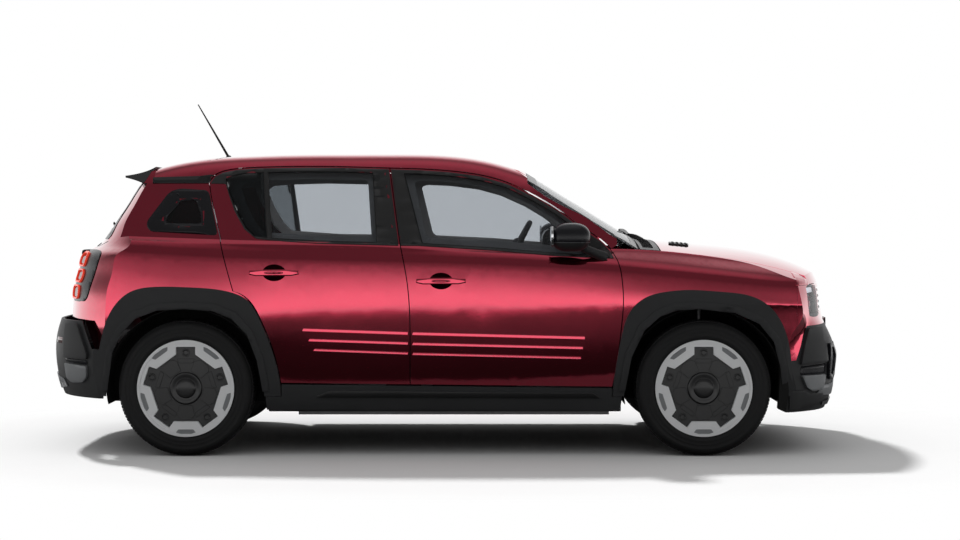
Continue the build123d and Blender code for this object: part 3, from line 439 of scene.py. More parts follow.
@dataclass
class Maker:
    """Turns finished meshes into pieces on bodies."""

    body: str = "body_shell"

    def piece(self, name: str, bm: bmesh.types.BMesh, finish: Finish, slot: str, body: str = "",
              wall: float = 0.0, edge: float = 0.0, smooth: bool = True) -> bpy.types.Object:
        """Finish a mesh as one piece.

        Args:
            name: Piece name.
            bm: Mesh, in the row frame; it is freed.
            finish: Its finish.
            slot: Material slot of the record; not used.
            body: CAD body it rides on.
            wall: Thickness put outside the sheet, metres.
            edge: Edge rounding, metres.
            smooth: Shade it smooth.

        Returns:
            The piece.
        """
        mesh = bpy.data.meshes.new(name)
        bm.to_mesh(mesh)
        bm.free()
        mesh.materials.append(finish.build())
        obj = bpy.data.objects.new(name, mesh)
        bpy.context.collection.objects.link(obj)
        if wall:
            solid = obj.modifiers.new("wall", "SOLIDIFY")
            solid.thickness = wall
            solid.offset = 1.0
        if edge:
            bevel = obj.modifiers.new("edge", "BEVEL")
            bevel.width = edge
            bevel.segments = 2
            bevel.limit_method = "ANGLE"
            bevel.angle_limit = math.radians(40)
        if smooth:
            mesh.shade_smooth()
            mesh.set_sharp_from_angle(angle=math.radians(38))
        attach(obj, body or self.body)
        return obj

    def pair(self, name: str, bm: bmesh.types.BMesh, finish: Finish, slot: str, body: str = "",
             **shape: float) -> list[bpy.types.Object]:
        """Finish a right-hand mesh as a right and a left piece.

        Args:
            name: Name without its side.
            bm: Right-hand mesh; it is freed.
            finish: Finish of both.
            slot: Material slot of the record; not used.
            body: Body name with {side} where the side's word goes.
            **shape: wall, edge and smooth, as for piece.

        Returns:
            The right and the left piece.
        """
        other = bm.copy()
        bmesh.ops.transform(other, matrix=Matrix.Scale(-1, 4, (0, 1, 0)), verts=other.verts[:])
        bmesh.ops.reverse_faces(other, faces=other.faces[:])
        made = []
        for side, mesh in ((Side.RIGHT, bm), (Side.LEFT, other)):
            made.append(self.piece(f"{name}_{side.word}", mesh, finish, slot,
                                   body.format(side=side.word), **shape))
        return made


def circle(middle: Point, wide: float, high: float, steps: int) -> list[Point]:
    """Outline of a circle or an ellipse.

    Args:
        middle: Centre, millimetres.
        wide: Half width, millimetres.
        high: Half height, millimetres.
        steps: Number of points.

    Returns:
        The outline.
    """
    return [(middle[0] + wide * math.cos(math.tau * k / steps), middle[1] + high * math.sin(math.tau * k / steps))
            for k in range(steps)]


def facing_out(bm: bmesh.types.BMesh, way: Vector) -> None:
    """Turn a sheet so that it looks against a direction.

    Args:
        bm: Mesh of one sheet.
        way: Direction in which it is looked at.
    """
    bm.normal_update()
    if sum(f.normal.dot(way) * f.calc_area() for f in bm.faces) > 0:
        bmesh.ops.reverse_faces(bm, faces=bm.faces[:])


def laid(points: Sequence[Point], skin: Skin, face: Face, lift: float, corner: float = 0.0,
         hole: Sequence[Point] | None = None, hole_corner: float = 0.0, step: float = 0.03
         ) -> bmesh.types.BMesh:
    """Sheet of a given outline laid on the skin.

    Args:
        points: Outline, millimetres.
        skin: What it is laid on.
        face: Direction it looks from.
        lift: Distance in front of the skin, millimetres.
        corner: Corner rounding, millimetres.
        hole: Outline of an opening, millimetres.
        hole_corner: Rounding of the opening, millimetres.
        step: Spacing of the cuts, metres.

    Returns:
        The sheet.
    """
    bm = bmesh.new()
    if hole:
        framed(bm, points, hole, face, (corner, hole_corner))
    else:
        outline(bm, points, face, corner)
    gridded(bm, step)
    draped(bm, skin, face, lift)
    facing_out(bm, face.value)
    return bm


def mirrored(points: Sequence[Point]) -> list[Point]:
    """Right half of an outline, given from the centre outwards and back, with its left half added.

    Args:
        points: (y, z) or (x, y) points with y below zero, from one end on the centre to the other.

    Returns:
        The closed outline.
    """
    return list(points) + [(-a, b) for a, b in reversed(points)]


def prism(bm: bmesh.types.BMesh, points: Sequence[Point], low: float, high: float, face: Face = Face.FLANK,
          corner: float = 0.0) -> list[bmesh.types.BMVert]:
    """Solid between two planes from an outline.

    Args:
        bm: Mesh being made.
        points: Outline, millimetres.
        low: Near plane, millimetres along the face's axis.
        high: Far plane, millimetres.
        face: Direction the outline is seen from.
        corner: Corner rounding, millimetres.

    Returns:
        The vertices of the solid.
    """
    part = bmesh.new()
    outline(part, points, face, corner)
    axis = {Face.FLANK: ACROSS, Face.TOP: UPWARD}.get(face, Vector((1, 0, 0)))
    bmesh.ops.translate(part, vec=axis * low * MM, verts=part.verts[:])
    grown = bmesh.ops.extrude_face_region(part, geom=part.faces[:])
    tops = [v for v in grown["geom"] if isinstance(v, bmesh.types.BMVert)]
    bmesh.ops.translate(part, vec=axis * (high - low) * MM, verts=tops)
    bmesh.ops.recalc_face_normals(part, faces=part.faces[:])
    return merged(bm, part)


def merged(bm: bmesh.types.BMesh, part: bmesh.types.BMesh) -> list[bmesh.types.BMVert]:
    """Add one mesh to another.

    Args:
        bm: Mesh that grows.
        part: Mesh that is added and freed.

    Returns:
        The vertices that were added.
    """
    held = bpy.data.meshes.new("held")
    part.to_mesh(held)
    part.free()
    before = len(bm.verts)
    bm.from_mesh(held)
    bpy.data.meshes.remove(held)
    bm.verts.ensure_lookup_table()
    return list(bm.verts)[before:]


def spun(bm: bmesh.types.BMesh, profile: Sequence[Point], centre: Vector, axis: Vector, steps: int = 48
         ) -> list[bmesh.types.BMVert]:
    """Round solid from a profile.

    Args:
        bm: Mesh being made.
        profile: (distance along the axis, radius) points, millimetres.
        centre: Where the axis starts, metres.
        axis: Unit direction of the axis.
        steps: Facets round the axis.

    Returns:
        The vertices that were added.
    """
    part = bmesh.new()
    across = axis.orthogonal().normalized()
    verts = [part.verts.new(centre + axis * a * MM + across * r * MM) for a, r in profile]
    edges = [part.edges.new(pair) for pair in zip(verts, verts[1:])]
    bmesh.ops.spin(part, geom=verts + edges, cent=centre, axis=axis, angle=math.tau, steps=steps, use_merge=True)
    bmesh.ops.remove_doubles(part, verts=part.verts[:], dist=1e-6)
    bmesh.ops.holes_fill(part, edges=[e for e in part.edges if e.is_boundary], sides=0)
    bmesh.ops.recalc_face_normals(part, faces=part.faces[:])
    return merged(bm, part)


# ---------------------------------------------------------------------------------------------
# Body


@dataclass
class WindowFrames(Maker):
    """Black frames, seals and inner linings of the side windows."""

    skin_wall: float = 0.0016
    lip_depth: float = 46.0
    front_outer: tuple[Point, ...] = (
        (869, 1003), (853, 1040), (806, 1087), (690, 1167), (590, 1243), (475, 1311), (332, 1381), (188, 1423),
        (20, 1445), (-120, 1454), (-271, 1459), (-214, 1068), (-133, 1068), (270, 1043), (557, 1017))
    front_glass: tuple[Point, ...] = (
        (797, 1061), (679, 1152), (581, 1227), (465, 1296), (326, 1365), (183, 1405), (20, 1427), (-120, 1436),
        (-204, 1439), (-106, 1078), (270, 1054), (557, 1029), (813, 1013))
    front_inner: tuple[Point, ...] = (
        (640, 1150), (560, 1212), (450, 1277), (310, 1340), (180, 1375), (20, 1396), (-118, 1402), (-150, 1390),
        (-88, 1122), (-70, 1108), (270, 1092), (560, 1068), (650, 1082))
    rear_outer: tuple[Point, ...] = (
        (-224, 1068), (-281, 1459), (-500, 1466), (-698, 1468), (-944, 1464), (-1066, 1456), (-1138, 1442),
        (-1177, 1422), (-1199, 1386), (-1122, 1384), (-1068, 1245), (-1012, 1150), (-952, 1103), (-888, 1095),
        (-645, 1079))
    rear_glass: tuple[Point, ...] = (
        (-334, 1082), (-362, 1441), (-500, 1447), (-698, 1449), (-944, 1444), (-1060, 1435), (-1121, 1413),
        (-1112, 1366), (-1060, 1247), (-1005, 1155), (-959, 1113), (-888, 1105), (-645, 1090))
    rear_inner: tuple[Point, ...] = (
        (-366, 1112), (-390, 1396), (-410, 1404), (-700, 1410), (-900, 1404), (-1010, 1396), (-1046, 1370),
        (-1010, 1270), (-960, 1180), (-915, 1136), (-640, 1116))

    def frame(self, name: str, node: str, outer: Sequence[Point], glass: Sequence[Point]) -> None:
        """Thin black frame on the outside of one door.

        Args:
            name: Door, front or rear.
            node: CAD node of the right door.
            outer: Outer outline.
            glass: Opening.
        """
        bm = laid(outer, Skin(node), Face.FLANK, 0.9, 4, glass, 6, 0.022)
        self.pair(f"{name}_window_frame", bm, PALETTE.sash, "trim", f"{name}_door_{{side}}_body",
                  wall=self.skin_wall)

    def lip(self, name: str, node: str, glass: Sequence[Point]) -> None:
        """Rubber lip that lines one opening.

        Args:
            name: Door, front or rear.
            node: CAD node of the right door.
            glass: Opening.
        """
        bm = bmesh.new()
        face = outline(bm, glass, Face.FLANK, 6)
        ring = face.edges[:]
        bmesh.ops.delete(bm, geom=[face], context="FACES_ONLY")
        bmesh.ops.subdivide_edges(bm, edges=ring, cuts=5)
        draped(bm, Skin(node, node.replace("_door", "_door_glass")), Face.FLANK, 0.8)
        deep = bmesh.ops.extrude_edge_only(bm, edges=bm.edges[:])
        verts = [v for v in deep["geom"] if isinstance(v, bmesh.types.BMVert)]
        bmesh.ops.translate(bm, vec=(0, self.lip_depth * MM, 0), verts=verts)
        bmesh.ops.recalc_face_normals(bm, faces=bm.faces[:])
        middle = sum((v.co for v in bm.verts), Vector()) / len(bm.verts)
        if sum(f.normal.dot(f.calc_center_median() - middle) for f in bm.faces) > 0:
            bmesh.ops.reverse_faces(bm, faces=bm.faces[:])
        self.pair(f"{name}_window_lip", bm, PALETTE.seal, "trim", f"{name}_door_{{side}}_body", wall=0.003)

    def lining(self, name: str, node: str, outer: Sequence[Point], inner: Sequence[Point]) -> None:
        """Inner frame round one opening, seen through the glass.

        Args:
            name: Door, front or rear.
            node: CAD node of the right door.
            outer: Outer outline.
            inner: Opening of the lining.
        """
        bm = laid(outer, Skin(node, node.replace("_door", "_door_glass")), Face.FLANK, -61, 4, inner, 34, 0.03)
        bmesh.ops.reverse_faces(bm, faces=bm.faces[:])
        self.pair(f"{name}_window_lining", bm, PALETTE.lining, "trim", f"{name}_door_{{side}}_body", wall=0.002)

    def divider(self) -> None:
        """Bar between the dropping and the fixed glass of the rear door."""
        skin = Skin("rear_door_glass_right")
        points = [(-893, 1100), (-868, 1100), (-902, 1446), (-929, 1446)]
        bm = laid(points, skin, Face.FLANK, 1.2, 0, step=0.03)
        self.pair("rear_glass_divider", bm, PALETTE.sash, "trim", "rear_door_{side}_body", wall=0.004)
        tinted = [(-960, 1113), (-893, 1104), (-929, 1442), (-1060, 1434), (-1122, 1412), (-1112, 1366),
                  (-1060, 1247), (-1005, 1155)]
        bm = laid(tinted, skin, Face.FLANK, 0.5, 0, step=0.04)
        self.pair("rear_fixed_glass", bm, PALETTE.privacy, "glass", "rear_door_{side}_body", wall=0.001)

    def band(self) -> None:
        """Black band from the rear window's top to the spoiler."""
        points = [(-1210, 1386), (-1206, 1392), (-1184, 1430), (-1200, 1432), (-1260, 1424), (-1502, 1418),
                  (-1502, 1386)]
        bm = laid(points, Skin("side_frames", "quarter_panels"), Face.FLANK, 0.2, 0, step=0.025)
        self.pair("roof_side_band", bm, PALETTE.satin, "trim", wall=0.0022)

    def build(self) -> None:
        """Build all of them."""
        for name, outer, glass, inner in (("front", self.front_outer, self.front_glass, self.front_inner),
                                          ("rear", self.rear_outer, self.rear_glass, self.rear_inner)):
            node = f"{name}_door_right"
            self.frame(name, node, outer, glass)
            self.lip(name, node, glass)
            self.lining(name, node, outer, inner)
        self.divider()
        self.band()


@dataclass
class QuarterWindow(Maker):
    """Black surround of the small rear side window."""

    surround: tuple[Point, ...] = ((-1524, 1183), (-1504, 1139), (-1147, 1119), (-1206, 1350), (-1360, 1360),
                                   (-1411, 1342))
    clear: tuple[Point, ...] = ((-1419, 1210), (-1346, 1296), (-1266, 1299), (-1239, 1223), (-1235, 1180),
                                (-1416, 1180))

    def build(self) -> None:
        """Build the surround."""
        bm = laid(self.surround, Skin("quarter_panels", "quarter_glass"), Face.FLANK, 0.3, 22, self.clear, 16, 0.022)
        self.pair("quarter_surround", bm, PALETTE.gloss, "trim", wall=0.002)


@dataclass
class Bumpers(Maker):
    """Skid plates of both bumpers and the intake of the front one."""

    def strip(self, name: str, node: str, face: Face, points: Sequence[Point], finish: Finish, lift: float,
              wall: float, corner: float = 8.0, slot: str = "trim") -> None:
        """Sheet across one bumper.

        Args:
            name: Piece name.
            node: CAD bumper.
            face: Nose or tail.
            points: Right half of the outline, (y, z).
            finish: Finish.
            lift: Distance in front of the bumper, millimetres.
            wall: Thickness, metres.
            corner: Corner rounding, millimetres.
            slot: Material slot; not used.
        """
        bm = laid(mirrored(points), Skin(node), face, lift, corner)
        self.piece(name, bm, finish, slot, wall=wall, edge=0.002)

    def build(self) -> None:
        """Build all of them."""
        self.strip("front_skid", "front_bumper", Face.NOSE,
                   [(0, 372), (-480, 372), (-560, 350), (-700, 350), (-740, 300), (-560, 292), (0, 288)],
                   PALETTE.skid, 1, 0.006)
        self.strip("front_intake", "front_bumper", Face.NOSE,
                   [(0, 556), (-430, 556), (-470, 520), (-440, 408), (0, 400)], PALETTE.gloss, 0.5, 0.004)
        self.strip("rear_skid", "rear_bumper", Face.TAIL,
                   [(0, 396), (-420, 396), (-520, 384), (-640, 380), (-660, 340), (-520, 320), (0, 316)],
                   PALETTE.skid, 1, 0.006)


@dataclass
class Wheels(Maker):
    """Dark star centres in the silver faces, with cap, bosses and pads."""

    steps: int = 48

    def star(self, size: float, half: float, reach: float) -> list[Point]:
        """Pentagon with a square arm on each corner.

        Args:
            size: Distance of the flats from the centre.
            half: Half width of an arm.
            reach: End of an arm.

        Returns:
            The outline.
        """
        points = []
        foot = size / math.cos(math.pi / 5) - half / math.tan(math.radians(54))
        for k in range(5):
            angle = math.radians(90 + 72 * k)
            ux, uz = math.cos(angle), math.sin(angle)
            for along, across in ((foot, half), (reach, half), (reach, -half), (foot, -half)):
                points.append((along * ux + across * uz, along * uz - across * ux))
        return points

    def centre(self) -> bmesh.types.BMesh:
        """Centre of one right-hand wheel, round the origin, looking along -Y.

        Returns:
            The mesh.
        """
        bm = bmesh.new()
        prism(bm, self.star(167, 48, 210), -76.2, -80, corner=3)
        for k in range(5):
            arm = math.radians(90 + 72 * k)
            turn = Matrix.Rotation(math.pi / 2 - arm, 4, "Y")
            pad = prism(bm, [(-33, 86), (33, 86), (45, 138), (24, 160), (-24, 160), (-45, 138)], -80, -85, corner=4)
            bmesh.ops.transform(bm, matrix=Matrix.Rotation(-math.radians(36), 4, "Y") @ turn, verts=pad)
            step = prism(bm, [(-44, 150), (44, 150), (36, 128), (-36, 128)], -80, -83, corner=3)
            boss = spun(bm, [(-80, 21), (-84, 20), (-84, 14), (-81, 12), (-81, 0.1)], Vector((0, 0, 0.181)),
                        ACROSS, 20)
            bmesh.ops.transform(bm, matrix=turn, verts=step + boss)
            nut = spun(bm, [(-79, 6), (-86.4, 5.5), (-86.4, 0.1)], Vector((0, 0, 0.066)), ACROSS, 12)
            bmesh.ops.transform(bm, matrix=Matrix.Rotation(math.radians(36), 4, "Y") @ turn, verts=nut)
        spun(bm, [(-80, 84), (-88, 79), (-89, 74), (-86.3, 62), (-86.3, 50), (-90, 47), (-91.5, 43), (-92.5, 30),
                  (-93, 0.1)], Vector(), ACROSS, self.steps)
        return bm

    def slots(self) -> bmesh.types.BMesh:
        """Shallow grey slots near the flange of one right-hand wheel, round the origin.

        Returns:
            The mesh.
        """
        bm = bmesh.new()
        for k in range(5):
            angle = math.radians(36 + 72 * k)
            part = prism(bm, [(-50, 224), (-38, 208), (38, 208), (50, 224), (26, 230.5), (-26, 230.5)], -90.5, -92.4,
                         corner=3)
            bmesh.ops.transform(bm, matrix=Matrix.Rotation(angle, 4, "Y"), verts=part)
        return bm

    def build(self) -> None:
        """Build all four."""
        for end in ("front", "rear"):
            for side in Side:
                name = f"{end}_{side.word}"
                low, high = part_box(f"rim_{name}")
                middle = (low + high) / 2
                middle.y = side.value * 0.776
                for word, mesh, finish in (("centre", self.centre(), PALETTE.hub),
                                           ("slots", self.slots(), PALETTE.skid)):
                    if side is Side.LEFT:
                        bmesh.ops.transform(mesh, matrix=Matrix.Scale(-1, 4, (0, 1, 0)), verts=mesh.verts[:])
                        bmesh.ops.reverse_faces(mesh, faces=mesh.faces[:])
                    bmesh.ops.translate(mesh, vec=middle, verts=mesh.verts[:])
                    self.piece(f"wheel_{word}_{name}", mesh, finish, "trim", f"wheel_{name}_body", edge=0.0015)


@dataclass
class TailLamps(Maker):
    """Three lit rings in each black housing."""

    centres: tuple[float, ...] = (992, 908, 824)

    def build(self) -> None:
        """Build the rings and what is inside them."""
        skin = Skin("tail_lamps")
        rings, cores = bmesh.new(), bmesh.new()
        for z in self.centres:
            outer = [(-494, z - 36), (-494, z + 36), (-622, z + 36), (-622, z - 36)]
            inner = [(-502, z - 28), (-502, z + 28), (-614, z + 28), (-614, z - 28)]
            merged(rings, laid(outer, skin, Face.TAIL, 1, 30, inner, 18, 0.02))
            middle = [(-505, z - 25), (-505, z + 25), (-611, z + 25), (-611, z - 25)]
            merged(cores, laid(middle, skin, Face.TAIL, 1, 14, step=0.02))
        self.pair("tail_ring", rings, PALETTE.red_glow, "lamp_rear", wall=0.012, edge=0.002)
        self.pair("tail_core", cores, PALETTE.red_lens, "lamp_rear", wall=0.005)


@dataclass
class HeadLamps(Maker):
    """Bezel, light bars and projector behind each clear lens."""

    def build(self) -> None:
        """Build what is behind the lenses."""
        skin = Skin("headlamps")
        face = [(-528, 716), (-528, 850), (-700, 852), (-730, 842), (-736, 716), (-640, 706)]
        self.pair("headlamp_bezel", laid(face, skin, Face.NOSE, -42, 10), PALETTE.gloss, "trim", wall=0.002)
        bar = [(-536, 822), (-536, 846), (-700, 848), (-724, 836), (-724, 820)]
        self.pair("headlamp_bar", laid(bar, skin, Face.NOSE, -26, 6), PALETTE.led, "lamp_front", wall=0.006)
        teeth = bmesh.new()
        for k in range(7):
            z = 724 + 13 * k
            for y in (-722, -704):
                merged(teeth, laid([(y - 6, z), (y - 6, z + 8), (y + 6, z + 8), (y + 6, z)], skin, Face.NOSE, -24))
        self.pair("headlamp_teeth", teeth, PALETTE.led, "lamp_front", wall=0.01)
        outer, inner = circle((-625, 768), 44, 44, 24), circle((-625, 768), 33, 33, 24)
        self.pair("headlamp_ring", laid(outer, skin, Face.NOSE, -34, 0, inner), PALETTE.chrome, "lamp_front",
                  wall=0.008, edge=0.001)
        eye = laid(inner, skin, Face.NOSE, -34)
        bmesh.ops.translate(eye, vec=(0.004, 0, 0), verts=eye.verts[:])
        self.pair("headlamp_eye", eye, PALETTE.chrome, "lamp_front", wall=0.002)


@dataclass
class Mirrors(Maker):
    """Domed housings of the door mirrors with their glass, light strip and arm."""

    middle: Vector = Vector((0.645, -0.922, 1.110))
    radii: Vector = Vector((0.099, 0.088, 0.074))

    def dome(self, low: float, high: float, grow: float) -> bmesh.types.BMesh:
        """Slice of the rounded housing between two heights.

        Args:
            low: Lowest height, metres.
            high: Highest height, metres.
            grow: Size against the housing's own.

        Returns:
            The slice.
        """
        bm = bmesh.new()
        bmesh.ops.create_icosphere(bm, subdivisions=5, radius=1.0)
        for vert in bm.verts:
            vert.co = Vector([math.copysign(abs(c) ** 0.82, c) for c in vert.co])
        bmesh.ops.scale(bm, vec=self.radii * grow, verts=bm.verts[:])
        bmesh.ops.translate(bm, vec=self.middle, verts=bm.verts[:])
        for level, up in ((low, -1), (high, 1)):
            cut = bmesh.ops.bisect_plane(bm, geom=bm.verts[:] + bm.edges[:] + bm.faces[:],
                                         plane_co=(0, 0, level), plane_no=(0, 0, up), clear_outer=True)
            rim = [e for e in cut["geom_cut"] if isinstance(e, bmesh.types.BMEdge)]
            if rim:
                bmesh.ops.edgeloop_fill(bm, edges=rim)
        bmesh.ops.recalc_face_normals(bm, faces=bm.faces[:])
        return bm

    def build(self) -> None:
        """Build both."""
        tops = self.pair("mirror_dome", self.dome(1.086, 2.0, 1.0), PALETTE.gloss, "gloss_black",
                         "front_door_{side}_body", edge=0.002)
        for obj, side in zip(tops, Side):
            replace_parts(obj, f"mirror_{side.word}")
        lower = self.dome(1.040, 1.0845, 0.985)
        spun(lower, [(-8, 20), (70, 22), (120, 26), (160, 30)], Vector((0.690, -0.890, 1.066)),
             Vector((0.82, 0.42, -0.36)).normalized(), 28)
        self.pair("mirror_lower", lower, PALETTE.cladding, "trim", "front_door_{side}_body", edge=0.003)
        glass = bmesh.new()
        prism(glass, [(-992, 1066), (-996, 1140), (-970, 1166), (-880, 1166), (-852, 1142), (-856, 1066)], 545, 556,
              Face.TAIL, 14)
        self.pair("mirror_glass", glass, PALETTE.chrome, "gloss_black", "front_door_{side}_body", edge=0.001)
        self.pair("mirror_strip", self.dome(1.0842, 1.0862, 1.012), PALETTE.skid, "lamp_front",
                  "front_door_{side}_body")
        base = [(852, 1006), (846, 1042), (800, 1084), (700, 1156), (690, 1140), (724, 1010)]
        self.pair("mirror_base", laid(base, Skin("front_door_right", "front_door_glass_right"), Face.FLANK, 1.6, 5,
                                      step=0.02), PALETTE.satin, "trim", "front_door_{side}_body", wall=0.004)


@dataclass
class Scuttle(Maker):
    """Wipers, screen border, sensor housing, bonnet vents, and near-black sheets of painted shade for the cowl slots.
    """

    def arm(self, name: str, start: Vector, end: Vector, skin: Skin, body: str) -> None:
        """One wiper: a tapered arm on its pivot and a blade along the glass.

        Args:
            name: Piece name.
            start: Pivot, metres.
            end: Far end of the blade, metres.
            skin: Glass that it lies on.
            body: Body that it rides on.
        """
        bm = bmesh.new()
        steps = 14
        way = Face.TOP.value
        rows = []
        for k in range(steps + 1):
            share = k / steps
            spot = start.lerp(end, share)
            base = skin.place(spot, way, 0.004) or spot
            across = (end - start).cross(way).normalized() * 0.006
            high = Vector((0, 0, 0.010 + 0.012 * math.sin(math.pi * share)))
            rows.append([bm.verts.new(base - across), bm.verts.new(base + across),
                         bm.verts.new(base + across * 0.4 + high), bm.verts.new(base - across * 0.4 + high)])
        for near, far in zip(rows, rows[1:]):
            for i in range(4):
                bm.faces.new((near[i], near[(i + 1) % 4], far[(i + 1) % 4], far[i]))
        bm.faces.new(rows[0])
        bm.faces.new(rows[-1][::-1])
        bmesh.ops.recalc_face_normals(bm, faces=bm.faces[:])
        spun(bm, [(-4, 13), (12, 12), (18, 8), (19, 0.1)], start, UPWARD, 20)
        self.piece(name, bm, PALETTE.satin, "trim", body, edge=0.001)

    def build(self) -> None:
        """Build all of it."""
        glass = Skin("windscreen", "cowl")
        self.arm("wiper_right", Vector((1.06, -0.30, 1.07)), Vector((0.985, 0.28, 1.10)), glass, self.body)
        self.arm("wiper_left", Vector((1.06, 0.34, 1.07)), Vector((0.93, -0.34, 1.12)), glass, self.body)
        screen = Skin("windscreen")
        outer = [(1010, 0), (1010, -690), (878, -718), (740, -708), (600, -698), (436, -660), (436, 0)]
        inner = [(972, 0), (970, -650), (870, -676), (740, -668), (600, -658), (486, -622), (486, 0)]
        outer, inner = (points + [(a, -b) for a, b in reversed(points[1:-1])] for points in (outer, inner))
        self.piece("screen_border", laid(outer, screen, Face.TOP, 0.25, 0, inner, 26, 0.04), PALETTE.gloss, "trim",
                   wall=0.0008)
        pod = [(452, -70), (560, -58), (592, -34), (592, 34), (560, 58), (452, 70)]
        bm = laid(pod, screen, Face.TOP, -8, 8, step=0.03)
        self.piece("sensor_pod", bm, PALETTE.satin, "trim", wall=0.003, edge=0.001)
        vent = [(1186, -420), (1292, -412), (1300, -300), (1196, -306)]
        self.piece("bonnet_vent", laid(vent, Skin("bonnet"), Face.TOP, 0.4, 14), PALETTE.satin, "trim",
                   "bonnet_body", wall=0.007, edge=0.002)
        slats = bmesh.new()
        for k in range(4):
            x = 1206 + 23 * k
            merged(slats, laid([(x, -402), (x + 11, -402), (x + 15, -318), (x + 4, -318)], Skin("bonnet"), Face.TOP,
                               7.6, 2))
        self.piece("bonnet_vent_slats", slats, PALETTE.seal, "trim", "bonnet_body", wall=0.003)
        # The cowl slots are near-black felt sheets laid on the cowl, not holes: painted shade of the openings.
        leaf = bmesh.new()
        for k in range(22):
            y = -640 + 58 * k
            merged(leaf, laid([(1030, y), (1084, y), (1084, y + 26), (1030, y + 26)], Skin("cowl"), Face.TOP, 0.3, 4))
        self.piece("cowl_slot_shade", leaf, PALETTE.felt, "trim", wall=0.003)


@dataclass
class RearDetails(Maker):
    """Plate, handle, brake light and wiper of the tailgate."""

    def build(self) -> None:
        """Build all of it."""
        skin = Skin("tailgate_panel", "tailgate_glass", "rear_bumper", "spoiler")
        gate = "tailgate_body"
        plate = [(-262, 760), (-262, 872), (262, 872), (262, 760)]
        self.piece("rear_plate", laid(plate, skin, Face.TAIL, 3, 8), PALETTE.plate, "gloss_black", gate, wall=0.002)
        frame = [(-270, 752), (-270, 880), (270, 880), (270, 752)]
        self.piece("rear_plate_frame", laid(frame, skin, Face.TAIL, 0.4, 10), PALETTE.gloss, "gloss_black", gate,
                   wall=0.0024)
        grip = [(-150, 892), (-150, 916), (150, 916), (150, 892)]
        self.piece("tailgate_grip", laid(grip, skin, Face.TAIL, 0.5, 8), PALETTE.gloss, "gloss_black", gate,
                   wall=0.012, edge=0.003)
        band = [(-400, 1060), (-400, 1076), (400, 1076), (400, 1060)]
        self.piece("rear_glass_base", laid(band, skin, Face.TAIL, 0.4, 4), PALETTE.gloss, "gloss_black", gate,
                   wall=0.002)
        bm = bmesh.new()
        pivot = skin.place(Vector((0, 0, 1.150)), Face.TAIL.value, 0.0)
        spun(bm, [(-4, 24), (14, 22), (24, 16), (26, 0.1)], pivot, Vector((-1, 0, 0.3)).normalized(), 24)
        merged(bm, laid([(0, 1142), (0, 1158), (-300, 1186), (-300, 1178)], skin, Face.TAIL, 9, 2, step=0.02))
        self.piece("rear_wiper", bm, PALETTE.satin, "trim", gate, wall=0.006)
        light = [(-150, 1402), (-150, 1412), (150, 1412), (150, 1402)]
        self.piece("high_brake_lamp", laid(light, Skin("spoiler"), Face.TAIL, 0.4, 3, step=0.02), PALETTE.red_lens,
                   "lamp_rear", gate, wall=0.002)
        reflector = [(-700, 560), (-700, 590), (-560, 590), (-560, 560)]
        self.pair("rear_reflector", laid(reflector, Skin("rear_bumper"), Face.TAIL, 0.4, 8, step=0.02),
                  PALETTE.red_lens, "lamp_rear", wall=0.003)


@dataclass
class SideDetails(Maker):
    """Sill steps, mud flaps and bumper corner pieces."""

    def build(self) -> None:
        """Build all of it."""
        step = [(-640, 306), (-560, 336), (760, 322), (800, 296), (-630, 300)]
        self.pair("sill_step", laid(step, Skin("sill_trims"), Face.FLANK, 0.3, 4, step=0.04), PALETTE.satin, "trim",
                  wall=0.007, edge=0.003)
        flap = [(1700, 240), (1738, 222), (1754, 330), (1742, 452), (1712, 452), (1706, 330)]
        bm = bmesh.new()
        prism(bm, flap, -868, -820, corner=5)
        self.pair("mud_flap", bm, PALETTE.felt, "trim")
        corner = Skin("front_bumper")
        loop_outer = [(-648, 560), (-600, 556), (-560, 500), (-560, 400), (-600, 368), (-650, 380), (-662, 470)]
        loop_inner = [(-638, 540), (-610, 538), (-580, 492), (-580, 420), (-608, 394), (-638, 402), (-646, 470)]
        self.pair("bumper_loop", laid(loop_outer, corner, Face.NOSE, 1, 10, loop_inner, 8, 0.025), PALETTE.gloss,
                  "gloss_black", wall=0.016, edge=0.003)
        self.pair("bumper_loop_fill", laid(loop_inner, corner, Face.NOSE, 0.6, 6), PALETTE.skid, "trim", wall=0.004)


